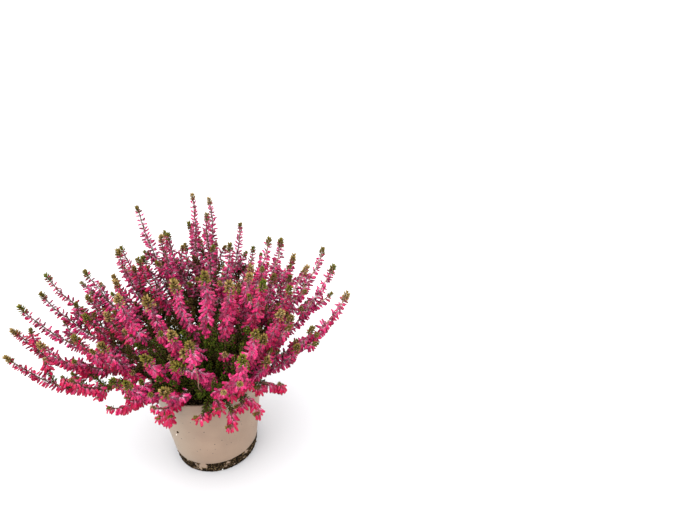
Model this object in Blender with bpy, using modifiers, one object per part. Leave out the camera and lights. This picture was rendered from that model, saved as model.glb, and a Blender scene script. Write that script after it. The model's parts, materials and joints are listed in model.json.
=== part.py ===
"""A winter heather in its nursery pot: a turned plastic pot, the peat in it, forty-six flowering
sprays and eight leafy shoots, each standing in its own hole in the peat.

The origin is the middle of the pot's underside, +Z is up, +X is the viewer's right and the
viewer looks along +Y. Lengths are in metres.
"""

import math
import random

import bmesh
import bpy
import numpy as np
from mathutils import Matrix, Vector, noise

MM = 0.001

# The pot, from its rim down.
POT_HEIGHT = 110 * MM
RIM_R = 60 * MM
BAND_HEIGHT = 12 * MM
BAND_STEP = 0.6 * MM
SHOULDER_R = 47 * MM
SHOULDER_Z = 15 * MM
SHOULDER_STEP = 0.9 * MM
FOOT_R = 44.3 * MM
WALL = 1.2 * MM
LIP = 0.4 * MM
SIDES = 36
CHANNEL_DEPTH = 2 * MM
CHANNEL_IN_R = 21 * MM
CHANNEL_OUT_R = 36 * MM
DRAIN_HOLES = 8
DRAIN_R = 3.5 * MM
DRAIN_SIDES = 10

# The peat and the holes that the stems stand in.
GAP = 0.35 * MM
PEAT_Z = 100 * MM
PEAT_MOUND = 2 * MM
PEAT_LUMPS = 0.8 * MM
LUMP_SIZE = 11 * MM
PEAT_RINGS = 5
STEM_DEPTH = 18 * MM
HOLE_R = 2.5 * MM
HOLE_SIDES = 5
COLLAR_Z = PEAT_Z + 4 * MM

# A shoot, from its root to its tip. The lower part bears leaves and the rest florets.
STEP = 7.8 * MM
ROOT_R = 1.6 * MM
SIDE_ROOT_R = 0.75 * MM
STEM_R = 1.25 * MM
SPIKE_R = 1.4 * MM
TIP_R = 0.55 * MM
BARE_FOOT = 13 * MM
LEAF_REACH = 5 * MM
LEAF_LEAN = 2.4 * MM
FLORET_REACH = 7 * MM
FLORET_LEAN = 1.5 * MM
TUFT_REACH = 3.8 * MM
TUFT_LENGTH = 11 * MM
MAIN_LEAFY_SHARE = 0.34
SIDE_LEAFY_SHARE = 0.2

# A shoot's line: how far over it leaves the peat and comes to its tip, in degrees or as a share
# of the tip's tilt, and how long the two handles that shape it are, as shares of its length.
# Long shoots that lean the most sag: they leave lower and have longer handles, by each degree
# past SAG_TILT. Those that trail over the rim turn up towards the light, at TRAIL_FACING.
LOWEST_LEAVE = 64
LEAVE_SHARE = 1.12
LEAVE_HANDLE = 0.22
SAG_TILT = 66
SAG_LEAVE = 2
SAG_HANDLE = 0.011
SIDE_HANDLE = 0.3
ARRIVE_SHARE = 0.42
ARRIVE_HANDLE = 0.24
ARRIVE_HANDLE_BY_TILT = 0.0038
JOINT_SHARE = 0.25
TURN_LEAN = 0.4
TURN_BACK = 0.4
TRAIL_TILT = 69
TRAIL_REACH = 110
TRAIL_FACING = 180
TRAIL_LEAN = 55
TRAIL_HANDLE = 0.45

# Where shoots leave the peat, and how they are bent clear of each other.
ROOT_DISC_R = 38 * MM
ROOT_SPACING = 8.2 * MM
ROOT_ROUNDS = 400
CLEAR = 0.35 * MM
CLEAR_ROUNDS = 130
PUSH = 0.35
LARGEST_MOVE = 2 * MM
HELD_LENGTH = 14 * MM
SIDE_FOLLOWS = 30 * MM
RIM_OVER = 4 * MM
FINE = 4
SEED = 7

# The sprays that shape the outline, each as the place of its tip and, where the rule for side
# shoots doesn't set it, of its side shoot's tip: azimuth in degrees from +X, tilt in degrees
# from upright, and millimetres from the middle of the peat. A fourth number bends the spray
# aside: it is the turn in degrees from the tip's azimuth to the way the tip points.
SPRAYS = [
    ((-168, 74, 197), (-157, 74, 136)),
    ((-177, 71, 203), (-165, 65, 169)),
    ((180, 64, 203), (-178, 55, 142)),
    ((173, 61, 195), None),
    ((169, 57, 200), (177, 49, 150)),
    ((166, 48, 171), (173, 37, 140)),
    ((-155, 54, 146), (-142, 49, 129)),
    ((-130, 30, 159), (-164, 42, 131)),
    ((160, 33, 165), (151, 38, 142)),
    ((138, 27, 196), (147, 31, 146)),
    ((148, 13, 165), (172, 22, 150)),
    ((110, 35, 149), (99, 39, 150)),
    ((98, 18, 199), (128, 20, 160)),
    ((68, 11, 181), (20, 14, 158)),
    ((88, 28, 195), (104, 27, 168)),
    ((-66, 27, 194), (-92, 20, 158)),
    ((-55, 30, 187), None),
    ((67, 31, 171), (51, 33, 149)),
    ((14, 26, 176), (-12, 24, 156)),
    ((26, 33, 174), None),
    ((14, 43, 166), (-2, 40, 150)),
    ((25, 48, 188), (38, 47, 160)),
    ((8, 48, 187), None),
    ((-4, 54, 190), (-11, 57, 143)),
    ((-17, 60, 126), None),
    ((-29, 42, 157), (-16, 47, 140)),
    ((-37, 33, 180), (-27, 26, 160)),
    ((-38, 55, 120), None),
    ((-50, 44, 166), (-40, 46, 138)),
    ((-58, 50, 157), (-70, 55, 120)),
    ((-79, 41, 154), None),
    ((-93, 44, 107, -87), (-97, 58, 118)),
    ((-92, 35, 138), (-112, 26, 150)),
    ((-109, 44, 124), None),
    ((-117, 57, 121), (-130, 60, 118)),
    ((-110, 70, 97), None),
    ((-145, 86, 105), (-136, 76, 92)),
    ((-64, 90, 86), None),
    ((-47, 87, 91), None),
    ((-70, 76, 84), (-85, 81, 78)),
    ((-26, 76, 96), None),
]
BACK_SPRAYS = 5
BACK_AZIMUTHS = (36, 154)
BACK_TILTS = (46, 68)
BACK_REACHES = (160, 192)
SIDE_TURNS = (10, 16)
SIDE_LEANS = (-9, 3)
SIDE_SHARES = (0.74, 0.86)

# The leafy shoots, set round the middle by the golden angle.
LEAFY_SHOOTS = 8
LEAFY_TWIGS = 2
LEAFY_FROM = 100
GOLDEN_TURN = 137.508
LEAFY_DISC_R = 26 * MM
LEAFY_HEIGHTS = (44, 64)
LEAFY_TILT = 8
LEAFY_TILT_AT_EDGE = 33
TWIG_TILT = 52
TWIG_TURN = 170
TWIG_SHARE = 0.38


def direction(azimuth, tilt):
    """The unit vector at these angles, in degrees."""
    turn, lean = math.radians(azimuth), math.radians(tilt)
    return Vector((math.sin(lean) * math.cos(turn), math.sin(lean) * math.sin(turn), math.cos(lean)))


def all_sprays(draw):
    """Every spray as two tip places: the outline's sprays, then those at the back by a rule."""
    sprays = list(SPRAYS)
    for number in range(BACK_SPRAYS):
        share = (number + 0.5) / BACK_SPRAYS
        azimuth = BACK_AZIMUTHS[0] + share * (BACK_AZIMUTHS[1] - BACK_AZIMUTHS[0])
        sprays.append(((azimuth, draw.uniform(*BACK_TILTS), draw.uniform(*BACK_REACHES)), None))
    pairs = []
    for tip, side in sprays:
        azimuth, tilt, reach = tip[:3]
        turn = draw.choice((-1, 1)) * draw.uniform(*SIDE_TURNS)
        lean = draw.uniform(*SIDE_LEANS)
        share = draw.uniform(*SIDE_SHARES)
        pairs.append((tip, side or (azimuth + turn, tilt + lean, reach * share)))
    return pairs


def spread_roots(wanted):
    """Roots near the wanted places on the peat, pushed apart until each has room for its hole."""
    roots = np.array([(place.x, place.y) for place in wanted])
    for _ in range(ROOT_ROUNDS):
        away = roots[:, None] - roots[None]
        far = np.linalg.norm(away, axis=2) + np.eye(len(roots))
        push = np.clip(ROOT_SPACING - far, 0, None) * (1 - np.eye(len(roots))) / far
        roots += (away * push[:, :, None]).sum(1) * 0.4
        out = np.linalg.norm(roots, axis=1)
        roots *= np.minimum(1, ROOT_DISC_R / np.maximum(out, MM))[:, None]
    return [Vector((x, y, COLLAR_Z)) for x, y in roots]


def smooth_line(start, leave, arrive, end):
    """Points STEP apart along a line that leaves start by one vector and meets end by another."""
    share = np.linspace(0, 1, 160)[:, None]
    near, first, last, far = (np.array(place) for place in (start, start + leave, end - arrive, end))
    line = (near * (1 - share) ** 3 + 3 * first * share * (1 - share) ** 2
            + 3 * last * share**2 * (1 - share) + far * share**3)
    run = np.concatenate([[0], np.cumsum(np.linalg.norm(np.diff(line, axis=0), axis=1))])
    at = np.linspace(0, run[-1], max(4, round(run[-1] / STEP)) + 1)
    return np.stack([np.interp(at, run, line[:, axis]) for axis in range(3)], axis=1)


def trails(tilt, reach):
    """Whether a shoot with its tip there trails over the rim."""
    return tilt > TRAIL_TILT and reach < TRAIL_REACH


def sag(tilt, reach):
    """How far a long shoot sags that leans the most, in degrees past the tilt where that starts."""
    return 0 if trails(tilt, reach) else max(0, tilt - SAG_TILT)


def arrival(azimuth, tilt, reach, turn=0):
    """How a shoot comes to its tip: turned up, and bent aside by its turn. Where it trails over
    the rim it turns up towards the light."""
    if trails(tilt, reach):
        return direction(TRAIL_FACING, TRAIL_LEAN) * TRAIL_HANDLE
    handle = ARRIVE_HANDLE + ARRIVE_HANDLE_BY_TILT * tilt + SAG_HANDLE * sag(tilt, reach)
    return direction(azimuth + turn, ARRIVE_SHARE * tilt + TURN_LEAN * abs(turn)) * handle


def main_line(root, azimuth, tilt, reach, turn=0):
    """A main shoot's line: out of the peat low over the rim, and turned up to its tip."""
    end = Vector((0, 0, PEAT_Z)) + direction(azimuth, tilt) * reach * MM
    length = (end - root).length
    sagging = sag(tilt, reach)
    lean = min(LEAVE_SHARE * tilt + 3, LOWEST_LEAVE + SAG_LEAVE * sagging)
    leave = direction(azimuth - TURN_BACK * turn, lean) * length * (LEAVE_HANDLE + SAG_HANDLE * sagging)
    return smooth_line(root, leave, arrival(azimuth, tilt, reach, turn) * length, end)


def side_line(main, joint, azimuth, tilt, reach):
    """A side shoot's line: off the main shoot at one of its points, then away to its own tip."""
    start = Vector(main[joint])
    end = Vector((0, 0, PEAT_Z)) + direction(azimuth, tilt) * reach * MM
    along = (Vector(main[joint + 1]) - start).normalized()
    length = (end - start).length
    leave = (along + (end - start).normalized() * 0.8).normalized() * length * SIDE_HANDLE
    return smooth_line(start, leave, arrival(azimuth, tilt, reach) * length, end)


class Shoot:
    """One shoot: its node, its points from root to tip, the share of it that bears leaves, and,
    for a side shoot, its main shoot and which of that shoot's points it grows from."""

    def __init__(self, node, points, leafy_share, parent=None, joint=0):
        self.node, self.points, self.leafy_share = node, points, leafy_share
        self.parent, self.joint = parent, joint
        run = np.linalg.norm(np.diff(points, axis=0), axis=1)
        self.run = np.concatenate([[0], np.cumsum(run)])

    def wanted_reach(self):
        """How far leaves or florets stand out from the middle of the stem at each point."""
        length = self.run[-1]
        bare = 0.8 * BARE_FOOT if self.parent else BARE_FOOT
        reach = np.where(self.run < length * self.leafy_share, LEAF_REACH, FLORET_REACH)
        reach = np.where(self.run > length - TUFT_LENGTH, TUFT_REACH, reach)
        return np.where(self.run < bare, 0, reach)


def leafy_shoot(node, root, azimuth, tilt, high, turn):
    """A short green shoot: a main stem and its twigs, which start one point apart."""
    end = root + direction(azimuth, tilt) * high
    main = Shoot(node, smooth_line(root, Vector((0, 0, 0.3 * high)), (end - root) * 0.3, end), 1)
    shoots = [main]
    for joint in range(2, 2 + LEAFY_TWIGS):
        start = Vector(main.points[joint])
        side = direction(azimuth + turn + TWIG_TURN * joint, TWIG_TILT) + direction(azimuth, tilt)
        end = start + side * high * TWIG_SHARE
        line = smooth_line(start, (end - start) * 0.3, Vector((0, 0, 0.2 * high)), end)
        shoots.append(Shoot(node, line, 1, main, joint))
    return shoots


def plan_shoots():
    """All shoots of the plant, before they are bent clear of each other."""
    draw = random.Random(SEED)
    sprays = all_sprays(draw)
    wanted = [direction(azimuth, 90) * ROOT_DISC_R * (tilt / 90) ** 0.8 for (azimuth, tilt, *_), _ in sprays]
    leafy = [(LEAFY_FROM + GOLDEN_TURN * number, LEAFY_DISC_R * math.sqrt((number + 0.6) / LEAFY_SHOOTS))
             for number in range(LEAFY_SHOOTS)]
    wanted += [direction(azimuth, 90) * out for azimuth, out in leafy]
    roots = spread_roots(wanted)
    shoots = []
    for number, (tip, side) in enumerate(sprays):
        node = f"spray_{number + 1:02d}"
        main = Shoot(node, main_line(roots[number], *tip), MAIN_LEAFY_SHARE)
        joint = max(2, round(JOINT_SHARE * len(main.points)))
        side = Shoot(node, side_line(main.points, joint, *side), SIDE_LEAFY_SHARE, main, joint)
        shoots += [main, side]
    for number, (azimuth, out) in enumerate(leafy):
        high = draw.uniform(*LEAFY_HEIGHTS) * MM
        tilt = LEAFY_TILT + LEAFY_TILT_AT_EDGE * out / LEAFY_DISC_R
        root = roots[len(sprays) + number]
        shoots += leafy_shoot(f"leafy_shoot_{number + 1}", root, azimuth, tilt, high, draw.uniform(0, 360))
    return shoots


def wall_radius(z):
    """The pot wall's outer radius at height z, without the rim's band."""
    share = (z - SHOULDER_Z) / (POT_HEIGHT - SHOULDER_Z)
    return SHOULDER_R + (RIM_R - BAND_STEP - SHOULDER_R) * share


def off_pot(points):
    """How far each point is from the pot's rim or wall, and the way to move off them: up where
    the point is over or inside the rim, and straight out where it is outside."""
    out = np.linalg.norm(points[:, :2], axis=1)
    height = np.minimum(points[:, 2], POT_HEIGHT)
    inside = out < wall_radius(height)
    face = wall_radius(height) - WALL * (inside & (points[:, 2] < POT_HEIGHT))
    on_pot = points * (face / np.maximum(out, MM))[:, None]
    on_pot[:, 2] = height
    away = points - on_pot
    far = np.linalg.norm(away, axis=1)
    way = np.where((out < RIM_R + RIM_OVER)[:, None], (0, 0, 1), away / np.maximum(far, MM)[:, None])
    return far - BAND_STEP, way


def over_peat(points):
    """How high each point is over the peat, where it is over the pot at all."""
    over = np.linalg.norm(points[:, :2], axis=1) < RIM_R
    return np.where(over, points[:, 2] - PEAT_Z - PEAT_MOUND - PEAT_LUMPS, 1)


def close_pairs(place, node, within):
    """The pairs of points of different nodes that lie within this distance of each other."""
    square = (place**2).sum(1)
    far = square[:, None] + square[None] - 2 * place @ place.T
    return np.nonzero((far < within**2) & (node[:, None] != node[None]))


def bend_clear(shoots):
    """Moves the shoots' points until no shoot crowds another node's, the rim or the peat."""
    first = np.cumsum([0] + [len(shoot.points) for shoot in shoots])
    parts = [slice(first[k], first[k + 1]) for k in range(len(shoots))]
    start_of = {id(shoot): first[k] for k, shoot in enumerate(shoots)}
    place = np.concatenate([shoot.points for shoot in shoots])
    begun = place.copy()
    reach = np.concatenate([np.maximum(shoot.wanted_reach(), ROOT_R) for shoot in shoots])
    names = sorted({shoot.node for shoot in shoots})
    node = np.concatenate([[names.index(shoot.node)] * len(shoot.points) for shoot in shoots])
    ease = np.concatenate([np.clip(shoot.run / HELD_LENGTH, 0, 1) for shoot in shoots])
    for turn in range(CLEAR_ROUNDS):
        if turn % 4 == 0:
            one, other = close_pairs(place, node, 2 * FLORET_REACH + 5 * MM)
            room = reach[one] + reach[other] + 2 * CLEAR
        away = place[one] - place[other]
        far = np.linalg.norm(away, axis=1) + 0.001 * MM
        push = away * (np.clip(room - far, 0, None) / far)[:, None]
        move = PUSH * np.stack([np.bincount(one, push[:, axis], len(place)) for axis in range(3)], axis=1)
        far, way = off_pot(place)
        move += way * np.clip(reach + 2 * MM - far, 0, None)[:, None]
        move[:, 2] += np.clip(reach + 1 * MM - over_peat(place), 0, None) * (ease > 0.5)
        size = np.linalg.norm(move, axis=1)
        move *= (ease * np.minimum(1, LARGEST_MOVE / np.maximum(size, 0.001 * MM)))[:, None]
        bent = place + move - begun
        for shoot, part in zip(shoots, parts):
            own = bent[part]
            own[1:-1] += 0.25 * (own[:-2] + own[2:] - 2 * own[1:-1])
            if shoot.parent:
                joint = start_of[id(shoot.parent)] + shoot.joint
                fade = np.clip(1 - shoot.run / SIDE_FOLLOWS, 0, 1)
                own += (bent[joint] - own[0]) * fade[:, None]
        place = begun + bent
    for shoot, part in zip(shoots, parts):
        shoot.points = place[part]


def fine_points(points):
    """The points with FINE steps between each two."""
    at = np.arange(0, len(points) - 1 + 0.5 / FINE, 1 / FINE)
    return np.stack([np.interp(at, np.arange(len(points)), points[:, axis]) for axis in range(3)], axis=1)


def nearest(points, others):
    """How far each point is from the nearest of the others."""
    square = (points**2).sum(1)[:, None] + (others**2).sum(1)[None] - 2 * points @ others.T
    return np.sqrt(np.maximum(square.min(1), 0))


def find_room(shoots):
    """Sets each shoot's room: how far out its leaves may stand at each fine point, which is half
    of the way to other nodes' shoots."""
    fine = [fine_points(shoot.points) for shoot in shoots]
    for shoot, points in zip(shoots, fine):
        others = np.concatenate([line for other, line in zip(shoots, fine) if other.node != shoot.node])
        room = np.minimum(0.5 * nearest(points, others), off_pot(points)[0])
        shoot.room = np.minimum(room, over_peat(points)) - CLEAR


def ring_steps(shoot):
    """Which of the shoot's points its solid has rings at: every other one where it bears leaves."""
    last = len(shoot.points) - 1
    leafy = round(shoot.leafy_share * last) if shoot.leafy_share < 1 else 0
    return [step for step in range(last + 1) if step >= leafy or (leafy - step) % 2 == 0 or step == 0]


def clear_reach(shoot, rings):
    """How far out the leaves at each ring stand, so that they touch nothing on their whole length."""
    wanted = shoot.wanted_reach()
    reach = np.zeros(len(rings))
    for k in range(1, len(rings) - 1):
        before, here, after = (FINE * ring for ring in rings[k - 1:k + 2])
        steps = np.arange(before + 1, after)
        share = np.where(steps < here, (here - steps) / (here - before), (steps - here) / (after - here))
        free = ((shoot.room[steps] - share * SPIKE_R) / (1 - share)).min()
        reach[k] = min(wanted[rings[k]], math.sqrt(max(0, free) ** 2 + FLORET_LEAN**2) - FLORET_LEAN)
    return np.where(reach > 1.4 * SPIKE_R, reach, 0)


def applied(source):
    """The object as the viewport shows it, as a plain mesh object in its place."""
    bpy.context.view_layer.update()
    mesh = bpy.data.meshes.new_from_object(source.evaluated_get(bpy.context.evaluated_depsgraph_get()))
    name = source.name
    made = bpy.data.objects.new(name, mesh)
    made.matrix_world = source.matrix_world.copy()
    bpy.data.objects.remove(source)
    made.name = name
    return made


def stem_tube(name, points, radii):
    """A four-sided tube along the points, made of a curve with a bevel."""
    curve = bpy.data.curves.new(name, "CURVE")
    curve.dimensions = "3D"
    curve.bevel_depth = MM
    curve.bevel_resolution = 0
    curve.use_fill_caps = True
    spline = curve.splines.new("POLY")
    spline.points.add(len(points) - 1)
    for point, place, radius in zip(spline.points, points, radii):
        point.co = (*place, 1)
        point.radius = radius / curve.bevel_depth
    tube = bpy.data.objects.new(name, curve)
    bpy.context.scene.collection.objects.link(tube)
    return applied(tube)


def raise_leaves(tube, points, reaches, leans):
    """Draws two opposite corners of each ring out into leaves or florets, a quarter turn on from
    ring to ring, then welds the caps and splits the faces so that each leaf is a pyramid."""
    shape = bmesh.new()
    shape.from_mesh(tube.data)
    shape.verts.ensure_lookup_table()
    caps = len(shape.verts) - 4 * len(points)
    for ring, (reach, lean) in enumerate(zip(reaches, leans)):
        if reach <= 0:
            continue
        middle = Vector(points[ring])
        along = Vector(points[ring + 1] - points[ring - 1]).normalized()
        for side in (ring % 2, ring % 2 + 2):
            corner = shape.verts[caps + 4 * ring + side]
            corner.co = middle + (corner.co - middle).normalized() * reach + along * lean
    bmesh.ops.remove_doubles(shape, verts=shape.verts, dist=0.01 * MM)
    bmesh.ops.triangulate(shape, faces=shape.faces, quad_method="SHORT_EDGE")
    bmesh.ops.recalc_face_normals(shape, faces=shape.faces)
    shape.to_mesh(tube.data)
    shape.free()


def shoot_solid(shoot):
    """One shoot as a closed mesh, its stem with the leaves and florets raised from it."""
    rings = ring_steps(shoot)
    points = shoot.points[rings]
    share = shoot.run[rings] / shoot.run[-1]
    root_r = SIDE_ROOT_R if shoot.parent else ROOT_R
    radii = np.interp(share, [0, 0.1, 0.3, 0.9, 1], [root_r, STEM_R, STEM_R, SPIKE_R, TIP_R])
    reaches = clear_reach(shoot, rings)
    leans = np.where(reaches > LEAF_REACH, FLORET_LEAN, LEAF_LEAN)
    if not shoot.parent:
        points = np.concatenate([[points[0] - (0, 0, COLLAR_Z - PEAT_Z + STEM_DEPTH)], points])
        radii, reaches, leans = (np.concatenate([[row[0]], row]) for row in (radii, reaches, leans))
    tube = stem_tube(shoot.node, points, radii)
    raise_leaves(tube, points, reaches, leans)
    return tube


def keep_largest(solid):
    """Drops every loose scrap and sealed hollow, which are bodies apart from the main one."""
    shape = bmesh.new()
    shape.from_mesh(solid.data)
    left = set(shape.faces)
    bodies = []
    while left:
        body, edge = set(), [left.pop()]
        while edge:
            face = edge.pop()
            body.add(face)
            beside = {other for side in face.edges for other in side.link_faces} & left
            left -= beside
            edge += beside
        bodies.append(body)
    largest = max(bodies, key=len)
    scraps = [face for face in shape.faces if face not in largest]
    bmesh.ops.delete(shape, geom=scraps, context="FACES")
    shape.to_mesh(solid.data)
    shape.free()


def joined(tubes):
    """One solid of the tubes: one union on a collection, applied."""
    main, sides = tubes[0], tubes[1:]
    group = bpy.data.collections.new("sides")
    bpy.context.scene.collection.children.link(group)
    for tube in sides:
        group.objects.link(tube)
    bpy.context.scene.collection.objects.link(main)
    union = main.modifiers.new("Joined", "BOOLEAN")
    union.operation = "UNION"
    union.operand_type = "COLLECTION"
    union.collection = group
    union.solver = "MANIFOLD"
    whole = applied(main)
    for tube in sides:
        bpy.data.objects.remove(tube)
    bpy.data.collections.remove(group)
    keep_largest(whole)
    return whole


def turned(name, outline):
    """A solid turned about the Z axis. The outline starts and ends on the axis, and goes down
    its outer side."""
    mesh = bpy.data.meshes.new(name)
    mesh.from_pydata([(r, 0, z) for r, z in outline], [(k, k + 1) for k in range(len(outline) - 1)], [])
    solid = bpy.data.objects.new(name, mesh)
    bpy.context.scene.collection.objects.link(solid)
    screw = solid.modifiers.new("Turned", "SCREW")
    screw.steps = screw.render_steps = SIDES
    screw.use_merge_vertices = True
    screw.merge_threshold = 0.01 * MM
    return applied(solid)


def cutter(name, sides, radius, depth, places):
    """One object of upright prisms, each at a place, to cut with."""
    shape = bmesh.new()
    for place in places:
        bmesh.ops.create_cone(shape, cap_ends=True, segments=sides, radius1=radius, radius2=radius,
                              depth=depth, matrix=Matrix.Translation(place))
    mesh = bpy.data.meshes.new(name)
    shape.to_mesh(mesh)
    shape.free()
    tool = bpy.data.objects.new(name, mesh)
    tool.hide_render = True
    tool.display_type = "WIRE"
    cutters.objects.link(tool)
    return tool


def cut(solid, tool):
    difference = solid.modifiers.new("Cut", "BOOLEAN")
    difference.operation = "DIFFERENCE"
    difference.object = tool
    difference.solver = "EXACT"


def finished(solid, material, sharp_angle=35):
    """Gives the solid its material and smooth shading, and puts it in the plant's collection."""
    solid.data.materials.clear()
    solid.data.materials.append(material)
    solid.data.shade_smooth()
    solid.data.set_sharp_from_angle(angle=math.radians(sharp_angle))
    plant.objects.link(solid)


def new_material(name, colour, roughness):
    material = bpy.data.materials.new(name)
    material.use_nodes = True
    shader = material.node_tree.nodes["Principled BSDF"]
    shader.inputs["Base Color"].default_value = (*colour, 1)
    shader.inputs["Roughness"].default_value = roughness
    shader.inputs["Metallic"].default_value = 0
    return material


def floor_outline(lift, spread=0):
    """The pot's floor from the axis out to its foot, lift above its underside. Its raised ring is
    as much wider on both sides as spread."""
    inner, outer = CHANNEL_IN_R - spread, CHANNEL_OUT_R + spread
    return [(0, lift), (inner - CHANNEL_DEPTH, lift), (inner, lift + CHANNEL_DEPTH),
            (outer, lift + CHANNEL_DEPTH), (outer + CHANNEL_DEPTH, lift)]


def make_pot():
    """The pot: a thin turned shell with a banded rim, a stepped-in foot and a drained floor."""
    band_z = POT_HEIGHT - BAND_HEIGHT
    outside = [
        (RIM_R - LIP, POT_HEIGHT), (RIM_R, POT_HEIGHT - LIP),
        (wall_radius(band_z) + BAND_STEP, band_z), (wall_radius(band_z - BAND_STEP), band_z - BAND_STEP),
        (SHOULDER_R, SHOULDER_Z), (SHOULDER_R - SHOULDER_STEP, SHOULDER_Z - 0.5 * SHOULDER_STEP),
        (FOOT_R + LIP, LIP), (FOOT_R, 0),
    ]
    inside = [(FOOT_R - WALL, WALL), (wall_radius(POT_HEIGHT) - WALL, POT_HEIGHT)]
    outline = floor_outline(WALL) + inside + outside + floor_outline(0)[::-1]
    pot = turned("pot", outline)
    middle_r = (CHANNEL_IN_R + CHANNEL_OUT_R) / 2
    holes = []
    for number in range(DRAIN_HOLES):
        angle = (number + 0.5) * math.tau / DRAIN_HOLES
        holes.append((middle_r * math.cos(angle), middle_r * math.sin(angle), 0))
    cut(pot, cutter("drain_holes", DRAIN_SIDES, DRAIN_R, 20 * MM, holes))
    finished(pot, new_material("taupe_plastic", (0.36, 0.29, 0.23), 0.55))


def lump(place):
    """How much the peat's top stands up at this place."""
    return noise.noise(place / LUMP_SIZE) * PEAT_LUMPS


def make_peat(stems):
    """The peat: a plug that fills the pot, mounded and lumpy on top, with a hole for each stem."""
    inner_top = wall_radius(PEAT_Z) - WALL - GAP
    top = []
    for ring in range(PEAT_RINGS):
        out = ring / PEAT_RINGS
        top.append((out * inner_top, PEAT_Z + PEAT_MOUND * (1 - out**2)))
    outline = top + [(inner_top, PEAT_Z), (FOOT_R - WALL - 2 * GAP, WALL + GAP)]
    outline += floor_outline(WALL + GAP, GAP)[::-1]
    peat = turned("peat", outline)
    for corner in peat.data.vertices:
        if corner.co.z > PEAT_Z - GAP:
            corner.co.z += lump(corner.co)
    deep = PEAT_Z - STEM_DEPTH - GAP
    high = PEAT_Z + 20 * MM
    places = [(stem.x, stem.y, (deep + high) / 2) for stem in stems]
    cut(peat, cutter("stem_holes", HOLE_SIDES, HOLE_R, high - deep, places))
    finished(peat, new_material("black_peat", (0.016, 0.011, 0.008), 0.95))


def make_plant():
    """The sprays and leafy shoots, one node each."""
    flowers = new_material("crimson_flowers", (0.55, 0.03, 0.16), 0.5)
    leaves = new_material("dark_green_leaves", (0.045, 0.075, 0.018), 0.55)
    shoots = plan_shoots()
    bend_clear(shoots)
    find_room(shoots)
    mains = [shoot for shoot in shoots if not shoot.parent]
    for main in mains:
        tubes = [shoot_solid(shoot) for shoot in shoots if shoot is main or shoot.parent is main]
        solid = joined(tubes)
        solid.name = main.node
        finished(solid, flowers if main.node.startswith("spray") else leaves, 20)
    return [Vector(main.points[0]) for main in mains]


for old in list(bpy.data.objects):
    bpy.data.objects.remove(old)
plant = bpy.data.collections.new("potted_heather")
cutters = bpy.data.collections.new("cutters")
for collection in (plant, cutters):
    bpy.context.scene.collection.children.link(collection)
make_pot()
make_peat(make_plant())
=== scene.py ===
"""The looks of a winter heather in its nursery pot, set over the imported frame.

The shoots' lines are planned by the same rule as in the solids. On each of them this script puts
its bark, needles, bell flowers and the leafy tuft at its tip. Lengths are in metres.
"""

import json
import math
import random
from functools import partial

import bmesh
import bpy
import numpy as np
from mathutils import Matrix, Quaternion, Vector, noise

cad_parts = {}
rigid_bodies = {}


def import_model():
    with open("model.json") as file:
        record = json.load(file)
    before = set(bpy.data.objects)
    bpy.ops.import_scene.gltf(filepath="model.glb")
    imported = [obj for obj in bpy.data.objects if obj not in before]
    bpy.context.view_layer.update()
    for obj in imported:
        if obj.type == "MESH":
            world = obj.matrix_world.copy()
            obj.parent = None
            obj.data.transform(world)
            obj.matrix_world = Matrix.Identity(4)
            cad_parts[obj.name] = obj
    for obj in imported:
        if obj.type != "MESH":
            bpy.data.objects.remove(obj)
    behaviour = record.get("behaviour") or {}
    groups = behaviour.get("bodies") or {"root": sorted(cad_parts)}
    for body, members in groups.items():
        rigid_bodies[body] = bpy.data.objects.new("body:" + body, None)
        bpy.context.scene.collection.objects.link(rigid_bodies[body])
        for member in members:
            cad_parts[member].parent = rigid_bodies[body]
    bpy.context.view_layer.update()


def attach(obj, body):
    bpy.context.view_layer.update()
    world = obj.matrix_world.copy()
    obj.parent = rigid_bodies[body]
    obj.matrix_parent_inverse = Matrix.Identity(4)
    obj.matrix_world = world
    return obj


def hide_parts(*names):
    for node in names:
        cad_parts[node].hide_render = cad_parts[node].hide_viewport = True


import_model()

MM = 0.001
TINY = 0.001 * MM
UP = Vector((0, 0, 1))

# The pot, from its rim down, and the peat in it.
POT_HEIGHT = 110 * MM
RIM_R = 60 * MM
BAND_HEIGHT = 12 * MM
BAND_STEP = 0.6 * MM
SHOULDER_R = 47 * MM
SHOULDER_Z = 15 * MM
SHOULDER_STEP = 0.9 * MM
FOOT_R = 44.3 * MM
WALL = 1.2 * MM
LIP = 0.4 * MM
CHANNEL_DEPTH = 2 * MM
CHANNEL_IN_R = 21 * MM
CHANNEL_OUT_R = 36 * MM
DRAIN_HOLES = 8
DRAIN_R = 3.5 * MM
POT_STEPS = 144
GAP = 0.35 * MM
PEAT_Z = 100 * MM
PEAT_BOTTOM = 70 * MM
PEAT_RINGS = 44
PEAT_MOUND = 2 * MM
PEAT_LUMPS = 0.8 * MM
COLLAR_Z = PEAT_Z + 4 * MM

# The shoots' lines, by the rule and the values of the solids.
STEP = 7.8 * MM
LINE_POINTS = 160
ROOT_R = 1.6 * MM
BARE_FOOT = 13 * MM
SIDE_BARE_SHARE = 0.8
LEAF_REACH = 5 * MM
FLORET_REACH = 7 * MM
TUFT_REACH = 3.8 * MM
TUFT_LENGTH = 11 * MM
MAIN_LEAFY_SHARE = 0.34
SIDE_LEAFY_SHARE = 0.2
LOWEST_LEAVE = 64
LEAVE_SHARE = 1.12
LEAVE_MORE = 3
LEAVE_HANDLE = 0.22
SAG_TILT = 66
SAG_LEAVE = 2
SAG_HANDLE = 0.011
SIDE_AWAY = 0.8
SIDE_HANDLE = 0.3
ARRIVE_SHARE = 0.42
ARRIVE_HANDLE = 0.24
ARRIVE_HANDLE_BY_TILT = 0.0038
JOINT_SHARE = 0.25
TURN_LEAN = 0.4
TURN_BACK = 0.4
TRAIL_TILT = 69
TRAIL_REACH = 110
TRAIL_FACING = 180
TRAIL_LEAN = 55
TRAIL_HANDLE = 0.45
ROOT_DISC_R = 38 * MM
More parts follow.
